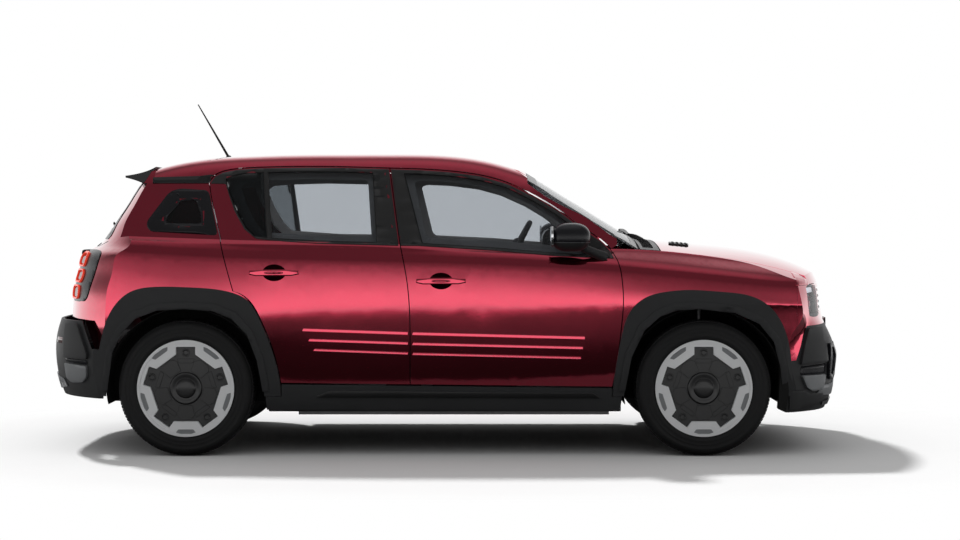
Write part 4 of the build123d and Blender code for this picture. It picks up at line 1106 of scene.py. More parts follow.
@dataclass
class Tyres(Maker):
    """Grooved tread and ringed sidewalls, in place of the plain tyres."""

    steps: int = 120
    ground: float = 345.0
    groove: float = 6.0
    walls: tuple[Point, ...] = (
        (85.5, 246.4), (95.5, 257), (97.2, 266), (97.5, 268), (96.4, 270), (97.0, 285), (97.5, 287), (96.5, 289),
        (96.4, 304), (97.3, 306), (97.1, 309), (94.5, 318), (86.5, 331), (72, 336.6))

    def mesh(self) -> bmesh.types.BMesh:
        """One tyre round the origin, with its axis along Y.

        Returns:
            The mesh.
        """
        bm = bmesh.new()
        tread = self.ground - self.groove
        right = [(-y, r) for y, r in self.walls]
        left = [(y, r) for y, r in reversed(self.walls)]
        rows = [(-52, tread - 0.5), (-24, tread), (0, tread + 0.1), (24, tread), (52, tread - 0.5)]
        spun(bm, right + rows + left, Vector(), ACROSS, self.steps)
        caps = [f for f in bm.faces if len(f.verts) > 8]
        bmesh.ops.delete(bm, geom=caps, context="FACES_ONLY")
        rims = [e for e in bm.edges if e.is_boundary]
        bmesh.ops.bridge_loops(bm, edges=rims)
        bmesh.ops.recalc_face_normals(bm, faces=bm.faces[:])
        lugs = [f for f in bm.faces if (spot := f.calc_center_median()).xz.length > (tread - 4) * MM
                and abs(spot.y) < 0.075]
        bmesh.ops.inset_individual(bm, faces=lugs, thickness=0.0022, depth=(self.groove - 0.7) * MM,
                                   use_even_offset=True)
        return bm

    def build(self) -> None:
        """Build all four."""
        for end in ("front", "rear"):
            for side in Side:
                name = f"{end}_{side.word}"
                low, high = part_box(f"tyre_{name}")
                bm = self.mesh()
                bmesh.ops.translate(bm, vec=(low + high) / 2, verts=bm.verts[:])
                obj = self.piece(f"tread_{name}", bm, PALETTE.rubber, "tyre", f"wheel_{name}_body")
                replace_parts(obj, f"tyre_{name}")


@dataclass
class Cabin(Maker):
    """Dashboard top, screens, steering wheel pad, lining and console."""

    wheel: Vector = Vector((0.392, 0.370, 1.032))

    def dash(self) -> None:
        """Dashboard pad with its hood, screens and vents."""
        bm = bmesh.new()
        prism(bm, [(892, 991), (892, 1030), (820, 1046), (716, 1044), (650, 1028), (618, 1000), (616, 991)],
              -640, 640, corner=6)
        self.piece("dash_top", bm, PALETTE.dash, "trim", edge=0.004)
        hood = bmesh.new()
        spun(hood, [(-120, 44), (-120, 50), (120, 50), (120, 44)], Vector((0.585, 0.37, 1.09)), ACROSS, 32)
        bmesh.ops.scale(hood, vec=(0.86, 1, 1.12), verts=hood.verts[:],
                        space=Matrix.Translation(Vector((-0.585, -0.37, -1.09))))
        self.piece("instrument_hood", hood, PALETTE.satin, "trim")
        screen = bmesh.new()
        prism(screen, [(606, 1060), (622, 1160), (634, 1158), (618, 1058)], -130, 130, corner=2)
        self.piece("centre_screen", screen, PALETTE.gloss, "gloss_black", edge=0.002)
        vents = bmesh.new()
        for y in (-560, 560):
            spun(vents, [(-12, 46), (6, 46), (6, 40), (-2, 36), (-2, 12), (4, 10), (4, 0.1)],
                 Vector((0.622, y * MM, 0.93)), Vector((-1, 0, 0)), 28)
        self.piece("dash_vents", vents, PALETTE.gloss, "trim")

    def steering(self) -> None:
        """Pad and spoke covers of the steering wheel."""
        tilt = Matrix.Translation(self.wheel) @ Matrix.Rotation(math.radians(-62), 4, "Y")
        bm = bmesh.new()
        spun(bm, [(-20, 66), (22, 62), (34, 50), (38, 30), (39, 0.1)], Vector(), UPWARD, 32)
        prism(bm, [(-162, -18), (-162, 18), (-60, 30), (60, 30), (162, 18), (162, -18), (60, -30), (-60, -30)], 9, 16,
              Face.TOP, 6)
        bmesh.ops.transform(bm, matrix=tilt, verts=bm.verts[:])
        self.piece("steering_pad", bm, PALETTE.dash, "trim", "steering_wheel_body", edge=0.003)

    def lining(self) -> None:
        """Lining under the roof."""
        bm = laid([(400, -520), (400, 520), (-1460, 520), (-1460, -520)], Skin("roof_panel"), Face.TOP, -15.2, 0,
                  step=0.12)
        bmesh.ops.reverse_faces(bm, faces=bm.faces[:])
        self.piece("headlining", bm, PALETTE.lining, "trim", wall=0.003)
        console = bmesh.new()
        prism(console, [(612, 330), (612, 760), (560, 700), (420, 560), (180, 540), (-60, 548), (-120, 520),
                        (-120, 330)], -70, 70, corner=14)
        self.piece("console", console, PALETTE.dash, "trim", edge=0.006)

    def build(self) -> None:
        """Build all of it."""
        self.dash()
        self.steering()
        self.lining()


@dataclass
class DoorCards(Maker):
    """Inner panels of the doors with armrests and speakers."""

    front: tuple[Point, ...] = ((842, 400), (868, 940), (820, 1000), (560, 1012), (270, 1036), (-110, 1052),
                                (-90, 700), (-78, 420))
    rear: tuple[Point, ...] = ((-236, 420), (-250, 700), (-300, 1052), (-645, 1064), (-900, 1080), (-1060, 960),
                               (-1000, 850), (-900, 700), (-860, 560), (-800, 420))

    def card(self, name: str, points: Sequence[Point], rest: tuple[float, float, float]) -> None:
        """Panel, armrest and speaker of one pair of doors.

        Args:
            name: Door, front or rear.
            points: Outline of the panel.
            rest: Armrest, from x to x at a height.
        """
        body = f"{name}_door_{{side}}_body"
        skin = Skin(f"{name}_door_right")
        bm = laid(points, skin, Face.FLANK, -58.4, 16, step=0.06)
        bmesh.ops.reverse_faces(bm, faces=bm.faces[:])
        self.pair(f"{name}_door_card", bm, PALETTE.dash, "trim", body, wall=0.004, edge=0.001)
        start, end, height = rest
        bm = bmesh.new()
        prism(bm, [(start, height - 50), (start + 20, height), (end - 20, height), (end, height - 40),
                   (end - 60, height - 80), (start + 80, height - 90)], -815, -752, corner=12)
        self.pair(f"{name}_armrest", bm, PALETTE.dash, "trim", body, edge=0.008)
        bm = bmesh.new()
        middle = Vector(((start + end) / 2 * MM + 0.2, -0.812, 0.52))
        spun(bm, [(0, 78), (6, 76), (8, 70), (5, 66), (7, 30), (7, 0.1)], middle, ACROSS, 36)
        self.pair(f"{name}_speaker", bm, PALETTE.felt, "trim", body)

    def build(self) -> None:
        """Build both pairs."""
        self.card("front", self.front, (40, 560, 760))
        self.card("rear", self.rear, (-800, -380, 780))


@dataclass
class FrontDetails(Maker):
    """Grille bars, sensors and the blank plate at the nose."""

    def build(self) -> None:
        """Build all of it."""
        grille = Skin("grille")
        bars = bmesh.new()
        for k in range(4):
            z = 730 + 30 * k
            bar = mirrored([(0, z + 8), (-478, z + 8), (-484, z + 4), (-478, z), (0, z)])
            merged(bars, laid(bar, grille, Face.NOSE, 0.3, 0, step=0.04))
        self.piece("grille_bars", bars, PALETTE.satin, "trim", wall=0.007, edge=0.002)
        bumper = Skin("front_bumper", "front_panel", "grille")
        plate = mirrored([(0, 668), (-260, 668), (-260, 560), (0, 560)])
        self.piece("front_plate", laid(plate, Skin("front_bumper"), Face.NOSE, 4, 6), PALETTE.plate, "gloss_black",
                   wall=0.002)
        frame = mirrored([(0, 676), (-270, 676), (-270, 552), (0, 552)])
        self.piece("front_plate_frame", laid(frame, Skin("front_bumper"), Face.NOSE, 0.4, 8), PALETTE.gloss,
                   "gloss_black", wall=0.0034)
        dots = bmesh.new()
        for y in (-520, -250, 250, 520):
            spot = bumper.place(Vector((0, y * MM, 0.535)), Face.NOSE.value, -0.002)
            spun(dots, [(0, 11), (3.4, 11), (3.8, 9), (3.8, 0.1)], spot, Vector((1, 0, 0)), 20)
        self.piece("front_sensors", dots, PALETTE.satin, "trim")
        lip = mirrored([(0, 268), (-560, 270), (-660, 262), (-660, 244), (-560, 240), (0, 236)])
        self.piece("front_lip", laid(lip, Skin("front_bumper"), Face.NOSE, 0.4, 6), PALETTE.satin, "trim",
                   wall=0.008, edge=0.003)


@dataclass
class Seats(Maker):
    """Padded seats and rear bench on their frames."""

    seat: Vector = Vector((0.170, -0.350, 0))
    voxel: float = 0.006
    frames: int = 10
    pressure: float = 4.0

    def block(self, bm: bmesh.types.BMesh, size: Sequence[float], corner: float, place: Matrix,
              at: Sequence[float] = (0, 0, 0)) -> None:
        """Rounded block.

        Args:
            bm: Mesh being made.
            size: Three sizes, millimetres.
            corner: Edge rounding, millimetres.
            place: Frame of the cushion.
            at: Centre in that frame, millimetres.
        """
        part = bmesh.new()
        bmesh.ops.create_cube(part, size=1.0)
        bmesh.ops.scale(part, vec=Vector(size) * MM, verts=part.verts[:])
        bmesh.ops.bevel(part, geom=part.edges[:], affect="EDGES", offset=corner * MM, segments=4, profile=0.5,
                        material=-1, clamp_overlap=True)
        bmesh.ops.transform(part, matrix=place @ Matrix.Translation(Vector(at) * MM), verts=part.verts[:])
        merged(bm, part)

    def swell(self, obj: bpy.types.Object, reach: float) -> None:
        """Remesh a shape and blow it up as cloth.

        Args:
            obj: The piece.
            reach: Largest move of a point, metres.
        """
        scene = bpy.context.scene
        remesh = obj.modifiers.new("remesh", "REMESH")
        remesh.mode = "VOXEL"
        remesh.voxel_size = self.voxel
        self.settle(obj)
        rest = [v.co.copy() for v in obj.data.vertices]
        cloth = obj.modifiers.new("cloth", "CLOTH")
        cloth.settings.use_pressure = True
        cloth.settings.uniform_pressure_force = self.pressure
        cloth.settings.effector_weights.gravity = 0
        cloth.settings.quality = 3
        cloth.point_cache.frame_start = 1
        cloth.point_cache.frame_end = self.frames
        for frame in range(1, self.frames + 1):
            scene.frame_set(frame)
        self.settle(obj)
        scene.frame_set(1)
        for vert, was in zip(obj.data.vertices, rest):
            move = vert.co - was
            if move.length > reach:
                vert.co = was + move * (reach / move.length)

    def settle(self, obj: bpy.types.Object) -> None:
        """Keep the mesh as its modifiers show it.

        Args:
            obj: The piece.
        """
        shown = obj.evaluated_get(bpy.context.evaluated_depsgraph_get())
        mesh = bpy.data.meshes.new_from_object(shown)
        obj.modifiers.clear()
        obj.data = mesh

    def channels(self, obj: bpy.types.Object, place: Matrix, lines: Sequence[float], across: Sequence[float],
                 axis: int) -> None:
        """Press sewn channels into the face of a cushion.

        Args:
            obj: The piece.
            place: Frame of the cushion.
            lines: Channels that run along, at these distances across, millimetres.
            across: Channels that run across, at these distances along, millimetres.
            axis: Axis of the frame that the face looks along.
        """
        back = place.inverted()
        way = (place.to_3x3() @ Vector([1 if i == axis else 0 for i in range(3)])).normalized()
        along = 0 if axis == 2 else 2
        for vert in obj.data.vertices:
            facing = vert.normal.dot(way)
            if facing < 0.4:
                continue
            spot = back @ vert.co / MM
            depth = max([0.0] + [math.exp(-((spot.y - y) / 7) ** 2) for y in lines]
                        + [math.exp(-((spot[along] - a) / 7) ** 2) for a in across])
            vert.co -= way * depth * facing * 0.007

    def pad(self, name: str, bm: bmesh.types.BMesh, place: Matrix, reach: float, lines: Sequence[float],
            across: Sequence[float], axis: int, mirrored_too: bool = True) -> None:
        """Finish one cushion.

        Args:
            name: Piece name.
            bm: Closed mesh, a little smaller than the cushion.
            place: Frame of the cushion.
            reach: Largest move of a point, metres.
            lines: Channels along, millimetres.
            across: Channels across, millimetres.
            axis: Axis the face looks along.
            mirrored_too: Make the other seat's cushion as well.
        """
        obj = self.piece(f"{name}_right" if mirrored_too else name, bm, PALETTE.fabric, "seat_fabric")
        self.swell(obj, reach)
        self.channels(obj, place, lines, across, axis)
        made = [obj]
        if mirrored_too:
            other = bmesh.new()
            other.from_mesh(obj.data)
            bmesh.ops.transform(other, matrix=Matrix.Scale(-1, 4, (0, 1, 0)), verts=other.verts[:])
            bmesh.ops.reverse_faces(other, faces=other.faces[:])
            made.append(self.piece(f"{name}_left", other, PALETTE.fabric, "seat_fabric"))
        for item in made:
            item.data.shade_smooth()
            soft = item.modifiers.new("soft", "SUBSURF")
            soft.levels = soft.render_levels = 1

    def build(self) -> None:
        """Build all of it."""
        base = Matrix.Translation(self.seat + Vector((0, 0, 0.522)))
        bm = bmesh.new()
        self.block(bm, (440, 440, 96), 40, base)
        for y in (-205, 205):
            self.block(bm, (430, 66, 120), 30, base, (-6, y, 6))
        self.pad("seat_base", bm, base, 0.022, (-150, 150), (-60, 70), 2)
        back = Matrix.Translation(self.seat + Vector((-0.235, 0, 0.560))) @ Matrix.Rotation(math.radians(-20), 4, "Y")
        bm = bmesh.new()
        self.block(bm, (84, 420, 540), 36, back, (0, 0, 320))
        for y in (-195, 195):
            self.block(bm, (104, 64, 440), 30, back, (10, y, 290))
        self.pad("seat_back", bm, back, 0.022, (-140, 140), (180, 330, 460), 0)
        head = Matrix.Translation(self.seat + Vector((-0.468, 0, 1.235))) @ Matrix.Rotation(math.radians(-14), 4, "Y")
        bm = bmesh.new()
        self.block(bm, (72, 226, 140), 32, head)
        self.pad("head_rest", bm, head, 0.014, (), (), 0)
        bench = Matrix.Translation(Vector((-0.690, 0, 0.600)))
        bm = bmesh.new()
        self.block(bm, (396, 1160, 60), 26, bench)
        self.pad("bench_base", bm, bench, 0.014, (-390, -200, 200, 390), (-40,), 2, False)
        rest = Matrix.Translation(Vector((-0.900, 0, 0.600))) @ Matrix.Rotation(math.radians(-18), 4, "Y")
        bm = bmesh.new()
        self.block(bm, (80, 1160, 510), 34, rest, (0, 0, 284))
        self.pad("bench_back", bm, rest, 0.018, (-390, -200, 200, 390), (260, 400), 0, False)
        frames = bmesh.new()
        for y in (-1, 1):
            seat = Matrix.Translation(Vector((self.seat.x, y * self.seat.y, 0)))
            for z, x, size in ((394, -10, (410, 40, 150)), (330, -10, (440, 52, 26))):
                for across in (-165, 165):
                    self.block(frames, size, 6, seat, (x, across, z))
            for across in (-55, 55):
                self.block(frames, (12, 12, 190), 5, seat, (-440, across, 1130))
        shell = self.piece("seat_frames", frames, PALETTE.steel, "steel")
        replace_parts(shell, "front_seats")
        tray = bmesh.new()
        self.block(tray, (380, 1120, 14), 4, Matrix.Translation(Vector((-0.690, 0, 0.568))))
        self.block(tray, (10, 1130, 500), 4, rest, (-50, 0, 280))
        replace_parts(self.piece("bench_frame", tray, PALETTE.steel, "steel"), "rear_bench")


@dataclass
class Corners(Maker):
    """Moulded blocks, skid wedges and painted corners at both ends."""

    def slab(self, name: str, skin: Skin, points: Sequence[Point], finish: Finish, lift: float, wall: float,
             edge: float = 0.0, corner: float = 4.0, body: str = "") -> None:
        """Sheet on both flanks.

        Args:
            name: Piece name without its side.
            skin: What it is laid on.
            points: Outline on the flank, (x, z).
            finish: Finish.
            lift: Distance in front of the skin, millimetres.
            wall: Thickness, metres.
            edge: Edge rounding, metres.
            corner: Corner rounding, millimetres.
            body: Body that it rides on.
        """
        self.pair(name, laid(points, skin, Face.FLANK, lift, corner, step=0.02), finish, "trim", body, wall=wall,
                  edge=edge)

    def front(self) -> None:
        """Block, wedge and lip at the front corners, and a black strip of painted shade in the gap between block and
        wedge.
        """
        skin = Skin("front_bumper")
        self.slab("front_corner_block", skin, [(1858, 646), (1950, 640), (1960, 560), (1975, 470), (1815, 462),
                                               (1833, 560)], PALETTE.cladding, 0, 0.016, 0.007, 10)
        # The gap strip is flat gloss black on the bumper: painted shade of the recess between block and wedge.
        self.slab("front_corner_gap", skin, [(1822, 452), (1972, 460), (1968, 408), (1818, 410)], PALETTE.gloss, 0.6,
                  0.001)
        self.slab("front_corner_wedge", skin, [(1822, 406), (1962, 404), (1958, 366), (1940, 326), (1880, 326),
                                               (1850, 344)], PALETTE.skid, 0, 0.014, 0.004, 8)
        self.slab("front_corner_lip", skin, [(1760, 330), (1842, 330), (1872, 312), (1950, 312), (1958, 300),
                                             (1930, 262), (1880, 244), (1760, 232)], PALETTE.cladding, 0, 0.008,
                  0.003, 6)

    def crown(self) -> None:
        """Painted corner between bonnet, wing and headlamp."""
        columns = (((1788, -699, 930), (1788, -745, 919), (1788, -790, 907), (1788, -828, 890), (1788, -850, 864)),
                   ((1812, -692, 923), (1812, -727, 914), (1812, -765, 903), (1812, -800, 888), (1806, -833, 864)),
                   ((1834, -686, 916), (1835, -712, 907), (1835, -741, 897), (1834, -768, 884), (1826, -798, 864)),
                   ((1856, -680, 905), (1857, -697, 898), (1857, -715, 890), (1854, -735, 879), (1845, -761, 864)),
                   ((1874, -675, 888), (1873, -682, 884), (1871, -691, 880), (1869, -703, 873), (1864, -722, 864)),
                   ((1884, -672, 872), (1883, -675, 870), (1882, -679, 869), (1881, -684, 867), (1879, -692, 864)))
        bm = bmesh.new()
        grid = [[bm.verts.new(Vector(spot) * MM) for spot in column] for column in columns]
        for left, right in zip(grid, grid[1:]):
            for k in range(len(left) - 1):
                bm.faces.new((left[k], right[k], right[k + 1], left[k + 1]))
        bmesh.ops.subdivide_edges(bm, edges=bm.edges[:], cuts=2, smooth=0.8, use_grid_fill=True)
        facing_out(bm, Face.TOP.value)
        self.pair("front_crown", bm, PALETTE.paint, "paint", wall=0.0015)

    def rear(self) -> None:
        """Block and wedge at the rear corners with a black strip of painted shade in the gap between them, and the
        lamps' side faces.
        """
        skin = Skin("rear_bumper")
        self.slab("rear_corner_block", skin, [(-1940, 664), (-1868, 668), (-1850, 640), (-1800, 520), (-1802, 490),
                                              (-1952, 494), (-1952, 620)], PALETTE.cladding, 0, 0.016, 0.007, 10)
        # The gap strip is flat gloss black on the bumper: painted shade of the recess between block and wedge.
        self.slab("rear_corner_gap", skin, [(-1948, 488), (-1806, 484), (-1806, 462), (-1946, 470)], PALETTE.gloss,
                  0.6, 0.001)
        self.slab("rear_corner_wedge", skin, [(-1944, 464), (-1806, 456), (-1806, 400), (-1830, 372), (-1900, 366),
                                              (-1934, 388)], PALETTE.skid, 0, 0.013, 0.004, 8)
        self.slab("lamp_side", Skin("quarter_panels", "tail_lamps"),
                  [(-1752, 1038), (-1750, 1020), (-1782, 930), (-1828, 800), (-1850, 778), (-1900, 780),
                   (-1900, 1040), (-1800, 1044)], PALETTE.gloss, 1.0, 0.003, 0.001, 10)

    def arches(self) -> None:
        """Raised inner ridge of the arch trims."""
        skin = Skin("arch_trims")
        front = [(923, 330), (955, 506), (1019, 640), (1098, 711), (1179, 742), (1293, 749), (1473, 730),
                 (1598, 674), (1673, 582), (1709, 453), (1722, 334)]
        rear = [(-1700, 330), (-1668, 527), (-1618, 628), (-1549, 700), (-1440, 741), (-1302, 749), (-1161, 739),
                (-1064, 700), (-987, 618), (-938, 487), (-911, 330)]
        for name, arc, axle in (("front", front, 1323), ("rear", rear, -1302)):
            far = [(axle + (x - axle) * 1.085, 330 + (z - 330) * 1.085) for x, z in reversed(arc)]
            self.slab(f"{name}_arch_ridge", skin, arc + far, PALETTE.cladding, 0.2, 0.006, 0.003, 0)

    def ribs(self) -> None:
        """Flat faces of the three ribs along the doors."""
        for name, lines in (("front", (((-155, 624), (719, 602), 7), ((-155, 572), (709, 551), 6),
                                       ((-155, 521), (699, 500), 5))),
                            ("rear", (((-710, 643), (-175, 625), 7), ((-679, 591), (-175, 574), 6),
                                      ((-654, 541), (-175, 523), 5)))):
            bm = bmesh.new()
            for (x0, z0), (x1, z1), half in lines:
                prism(bm, [(x0, z0 - half), (x0 + 6, z0 + half), (x1, z1 + half), (x1, z1 - half)], -880, -891.5)
            self.pair(f"{name}_door_rib", bm, PALETTE.paint, "paint", f"{name}_door_{{side}}_body", edge=0.0012)

    def handles(self) -> None:
        """Bars of the door handles, and dark wine red sheets in the dishes behind them as painted shade of the
        recesses.
        """
        for name, x, z in (("front", -8, 890), ("rear", -851, 932)):
            body = f"{name}_door_{{side}}_body"
            # The dish sheet's dark wine red is painted shade of the recess behind the handle.
            dish = laid(circle((x, z), 60, 42, 28), Skin(f"{name}_door_right"), Face.FLANK, 0.4, step=0.012)
            self.pair(f"{name}_handle_dish", dish, PALETTE.wine, "paint", body)
            bm = bmesh.new()
            prism(bm, [(x - 127, z - 9), (x - 123, z + 8), (x - 60, z + 15), (x + 60, z + 16), (x + 124, z + 7),
                       (x + 127, z - 8), (x + 90, z - 16), (x - 90, z - 17)], -884, -910.5)
            self.pair(f"{name}_handle_bar", bm, PALETTE.paint, "paint", body, edge=0.006)

    def backs(self) -> None:
        """Dark sheets behind the doors' shut lines, closing the sight lines there: painted shade standing in for the
        shaded pillar and sill seen through the gaps.
        """
        for name, low, high, depth in (("hinge_post_back", (893, 560), (950, 985), -743),
                                       ("rear_sill_back", (-880, 344), (-690, 420), -733)):
            bm = bmesh.new()
            prism(bm, [low, (low[0], high[1]), high, (high[0], low[1])], depth, depth - 3)
            # Near-black felt here is painted shade, not the colour of the pillar and sill behind.
            self.pair(name, bm, PALETTE.felt, "trim")

    def glass_band(self) -> None:
        """Black band round the rear glass."""
        outer = [(0, 1400), (-536, 1398), (-572, 1200), (-580, 1116), (-556, 1098), (0, 1098)]
        inner = [(0, 1362), (-440, 1356), (-468, 1310), (-486, 1180), (-474, 1156), (0, 1150)]
        rings = [list(points) + [(-a, b) for a, b in reversed(points[1:-1])] for points in (outer, inner)]
        bm = laid(rings[0], Skin("tailgate_panel", "tailgate_glass"), Face.TAIL, 0.6, 8, rings[1], 20)
        self.piece("rear_glass_band", bm, PALETTE.gloss, "gloss_black", "tailgate_body", wall=0.0015)

    def build(self) -> None:
        """Build all of it."""
        self.front()
        self.crown()
        self.rear()
        self.arches()
        self.ribs()
        self.handles()
        self.backs()
        self.glass_band()


# ---------------------------------------------------------------------------------------------
# Studio


@dataclass
class Studio:
    """Pale floor, soft lamps, world and camera."""

    sun_from: Vector = Vector((-0.5, 0.829, 1.113))
    sun: float = 2.5
    overhead: float = 0.52
    floor_tone: float = 0.94
    camera_at: Vector = Vector((0.189, -10.6, 1.2))
    focal: float = 72.2

    def floor(self) -> None:
        """Finite pale floor whose lit part fades to the backdrop's white; reflections and bounced light see it near
        black instead, which is painted shade and painted dark reflection on the car's lower body.
        """
        bm = bmesh.new()
        bmesh.ops.create_grid(bm, x_segments=8, y_segments=8, size=1.0)
        bmesh.ops.scale(bm, vec=(5.2, 3.2, 1), verts=bm.verts[:])
        bmesh.ops.translate(bm, vec=(0, 0.75, 0), verts=bm.verts[:])
        mesh = bpy.data.meshes.new("floor")
        bm.to_mesh(mesh)
        bm.free()
        floor = bpy.data.objects.new("floor", mesh)
        bpy.context.collection.objects.link(floor)
        mat = bpy.data.materials.new("pale_floor")
        mat.use_nodes = True
        tree = mat.node_tree
        tree.nodes.clear()
        out = new_node(tree, "OutputMaterial")
        lit = new_node(tree, "BsdfDiffuse")
        white = new_node(tree, "Emission")
        place = new_node(tree, "TexCoord")
        cloud = new_node(tree, "TexNoise", {"Scale": 3.0})
        link(place, "Object", cloud, "Vector")
        tint = new_node(tree, "MapRange", {"To Min": self.floor_tone - 0.01, "To Max": self.floor_tone + 0.01})
        link(cloud, "Fac", tint, "Value")
        link(tint, "Result", lit, "Color")
        shift = new_node(tree, "Mapping", {"Location": (-0.10, 0.05, 0), "Scale": (0.30, 0.46, 0)})
        link(place, "Object", shift, "Vector")
        reach = new_node(tree, "VectorMath")
        reach.operation = "LENGTH"
        link(shift, "Vector", reach, 0)
        fade = new_node(tree, "MapRange", {"From Min": 0.93, "From Max": 1.12})
        fade.interpolation_type = "SMOOTHSTEP"
        link(reach, "Value", fade, "Value")
        mix = new_node(tree, "MixShader")
        link(fade, "Result", mix, "Fac")
        link(lit, "BSDF", mix, 1)
        link(white, "Emission", mix, 2)
        # Near-black floor for reflections and bounced light, while the camera sees it pale: painted dark reflection
        # in the lower paint and painted shade on the car's underside and lower trim.
        painted_dark_floor = new_node(tree, "BsdfDiffuse", {"Color": (0.10, 0.10, 0.10, 1)})
        path = new_node(tree, "LightPath")
        bounced = new_node(tree, "Math")
        bounced.operation = "MAXIMUM"
        link(path, "Is Glossy Ray", bounced, 0)
        link(path, "Is Diffuse Ray", bounced, 1)
        last = new_node(tree, "MixShader")
        link(bounced, "Value", last, "Fac")
        link(mix, "Shader", last, 1)
        link(painted_dark_floor, "BSDF", last, 2)
        link(last, "Shader", out, "Surface")
        mesh.materials.append(mat)

    def world(self) -> None:
        """White behind the car; mirrors see a bright horizon under a darker sky with a soft box."""
        world = bpy.data.worlds.new("studio")
        world.use_nodes = True
        bpy.context.scene.world = world
        tree = world.node_tree
        tree.nodes.clear()
        out = new_node(tree, "OutputWorld")
        path = new_node(tree, "LightPath")
        seen = new_node(tree, "Math")
        seen.operation = "MAXIMUM"
        link(path, "Is Camera Ray", seen, 0)
        link(path, "Is Transmission Ray", seen, 1)
        soft = new_node(tree, "Background", {"Color": (1, 1, 1, 1)})
        white = new_node(tree, "Background", {"Color": (1, 1, 1, 1)})
        mirror = new_node(tree, "Background")
        place = new_node(tree, "TexCoord")
        parts = new_node(tree, "SeparateXYZ")
        link(place, "Generated", parts, "Vector")
        dome = new_node(tree, "MapRange", {"From Min": 0.0, "From Max": 0.6, "To Min": 0.02,
                                           "To Max": self.overhead})
        dome.interpolation_type = "SMOOTHSTEP"
        link(parts, "Z", dome, "Value")
        link(dome, "Result", soft, "Strength")
        height = new_node(tree, "MapRange", {"From Min": -1.0, "From Max": 1.0})
        link(parts, "Z", height, "Value")
        ramp = new_node(tree, "ValToRGB")
        stops = ((0.0, 0.02), (0.40, 0.02), (0.427, 0.03), (0.444, 0.10), (0.451, 0.13), (0.4585, 0.20),
                 (0.4625, 0.30), (0.4645, 1.45), (0.473, 1.44), (0.481, 1.38), (0.4965, 1.12), (0.520, 0.72),
                 (0.535, 0.50), (0.565, 0.34), (0.60, 0.24), (0.70, 0.13), (0.90, 0.13), (0.97, 0.3), (1.0, 0.4))
        bar = ramp.color_ramp
        bar.elements[0].position, bar.elements[1].position = stops[0][0], stops[-1][0]
        for k, (spot, level) in enumerate(stops):
            stop = bar.elements[0] if k == 0 else bar.elements[-1] if k == len(stops) - 1 else bar.elements.new(spot)
            stop.color = (level, level, level, 1)
        link(height, "Result", ramp, "Fac")
        behind = new_node(tree, "MapRange", {"From Min": 0.45, "From Max": 0.95})
        link(parts, "Y", behind, "Value")
        blend = new_node(tree, "Mix")
        blend.data_type = "RGBA"
        link(behind, "Result", blend, "Factor")
        link(ramp, "Color", blend, 6)
        blend.inputs[7].default_value = (1, 1, 1, 1)
        link(blend, 2, mirror, "Color")
        first = new_node(tree, "MixShader")
        link(path, "Is Glossy Ray", first, "Fac")
        link(soft, "Background", first, 1)
        link(mirror, "Background", first, 2)
        last = new_node(tree, "MixShader")
        link(seen, "Value", last, "Fac")
        link(first, "Shader", last, 1)
        link(white, "Background", last, 2)
        link(last, "Shader", out, "Surface")

    def lamps(self) -> None:
        """One soft key from behind and above, and three small soft lamps inside the cabin."""
        key = bpy.data.lights.new("key", "SUN")
        key.energy = self.sun
        key.angle = 0.09
        lamp = bpy.data.objects.new("key", key)
        lamp.rotation_euler = self.sun_from.to_track_quat("Z", "Y").to_euler()
        lamp.visible_glossy = False
        bpy.context.collection.objects.link(lamp)
        for x, power in ((0.15, 2.2), (-0.70, 2.2), (-1.36, 1.6)):
            dome = bpy.data.lights.new("cabin", "AREA")
            dome.energy = power
            dome.size = 0.5
            inner = bpy.data.objects.new("cabin", dome)
            inner.location = (x, 0, 1.40)
            inner.visible_glossy = False
            inner.visible_camera = False
            bpy.context.collection.objects.link(inner)

    def camera(self) -> None:
        """Camera level with the waist of the car."""
        data = bpy.data.cameras.new("camera")
        data.lens = self.focal
        data.sensor_width = 36.0
        camera = bpy.data.objects.new("camera", data)
        camera.location = self.camera_at
        camera.rotation_euler = (math.radians(90 - 1.5), 0, 0)
        bpy.context.collection.objects.link(camera)
        bpy.context.scene.camera = camera

    def build(self) -> None:
        """Set the whole studio."""
        self.floor()
        self.world()
        self.lamps()
        self.camera()
        bpy.context.scene.view_settings.view_transform = "Standard"


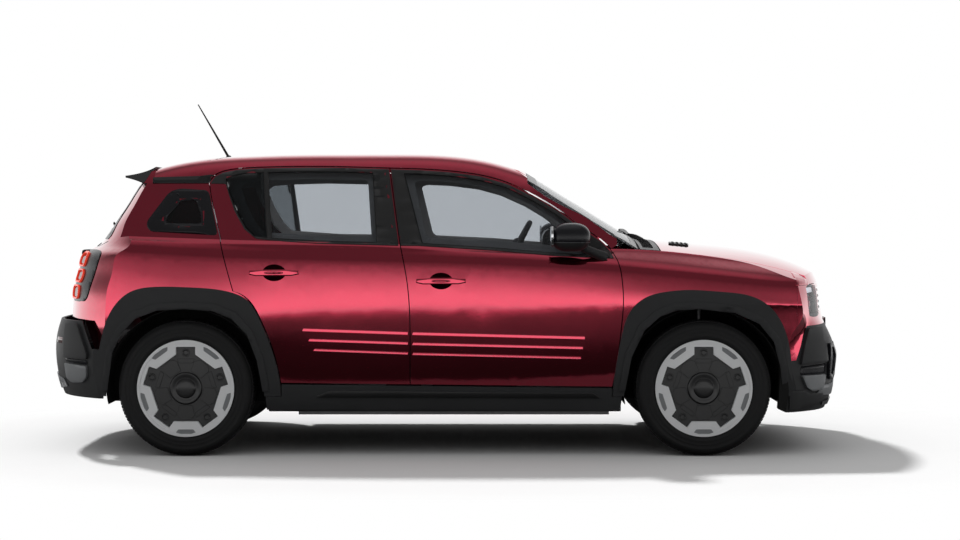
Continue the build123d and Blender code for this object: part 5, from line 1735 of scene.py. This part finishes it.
@dataclass
class Dresser:
    """Gives every CAD node that stays in sight its finish."""

    palette: Palette

    def finish_for(self, node: str, slot: str) -> Finish:
        """Finish of one node.

        Args:
            node: Node name.
            slot: Its material slot in the record.

        Returns:
            The finish.
        """
        special = {"quarter_glass": self.palette.privacy, "tailgate_glass": self.palette.privacy,
                   "dashboard": self.palette.dash, "steering_wheel": self.palette.satin,
                   "wheel_liners": self.palette.felt, "firewall": self.palette.felt,
                   "charge_socket": self.palette.satin}
        by_slot = {"paint": self.palette.paint, "dark_plastic": self.palette.cladding,
                   "gloss_black": self.palette.gloss, "glass": self.palette.glass,
                   "lamp_front": self.palette.lens, "lamp_rear": self.palette.gloss,
                   "steel": self.palette.steel, "raw_metal": self.palette.metal,
                   "alloy": self.palette.alloy, "tyre": self.palette.rubber,
                   "trim": self.palette.satin, "seat_fabric": self.palette.fabric}
        return special.get(node, by_slot[slot])

    def build(self) -> None:
        """Put the finishes on."""
        slots = {item["node"]: item["material_slot"] for item in FRAME["record"]["subparts"]}
        for node, obj in FRAME["nodes"].items():
            mat = self.finish_for(node, slots[node]).build()
            if not obj.material_slots:
                obj.data.materials.append(mat)
            for slot in obj.material_slots:
                slot.material = mat
        log.info("dressed %d nodes", len(FRAME["nodes"]))


def main() -> None:
    """Build every assembly and report it."""
    logging.basicConfig(level=logging.INFO, format="%(message)s")
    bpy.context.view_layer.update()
    assemblies = [Dresser(PALETTE)] + ASSEMBLIES + [Studio()]
    for assembly in assemblies:
        assembly.build()
        log.info("built %s", type(assembly).__name__)


with open("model.json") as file:
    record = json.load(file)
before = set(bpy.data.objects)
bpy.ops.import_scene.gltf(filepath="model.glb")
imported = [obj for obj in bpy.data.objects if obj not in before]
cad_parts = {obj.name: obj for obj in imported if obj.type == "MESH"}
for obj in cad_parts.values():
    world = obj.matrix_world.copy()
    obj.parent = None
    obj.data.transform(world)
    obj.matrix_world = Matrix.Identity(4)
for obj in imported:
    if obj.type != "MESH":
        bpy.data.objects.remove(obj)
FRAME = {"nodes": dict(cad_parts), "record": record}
ASSEMBLIES: list = [WindowFrames(), QuarterWindow(), Bumpers(), Wheels(), TailLamps(), HeadLamps(), Mirrors(),
                    Scuttle(), RearDetails(), SideDetails(), Tyres(), Cabin(), DoorCards(), FrontDetails(), Seats(),
                    Corners()]

if __name__ == "__main__":
    main()
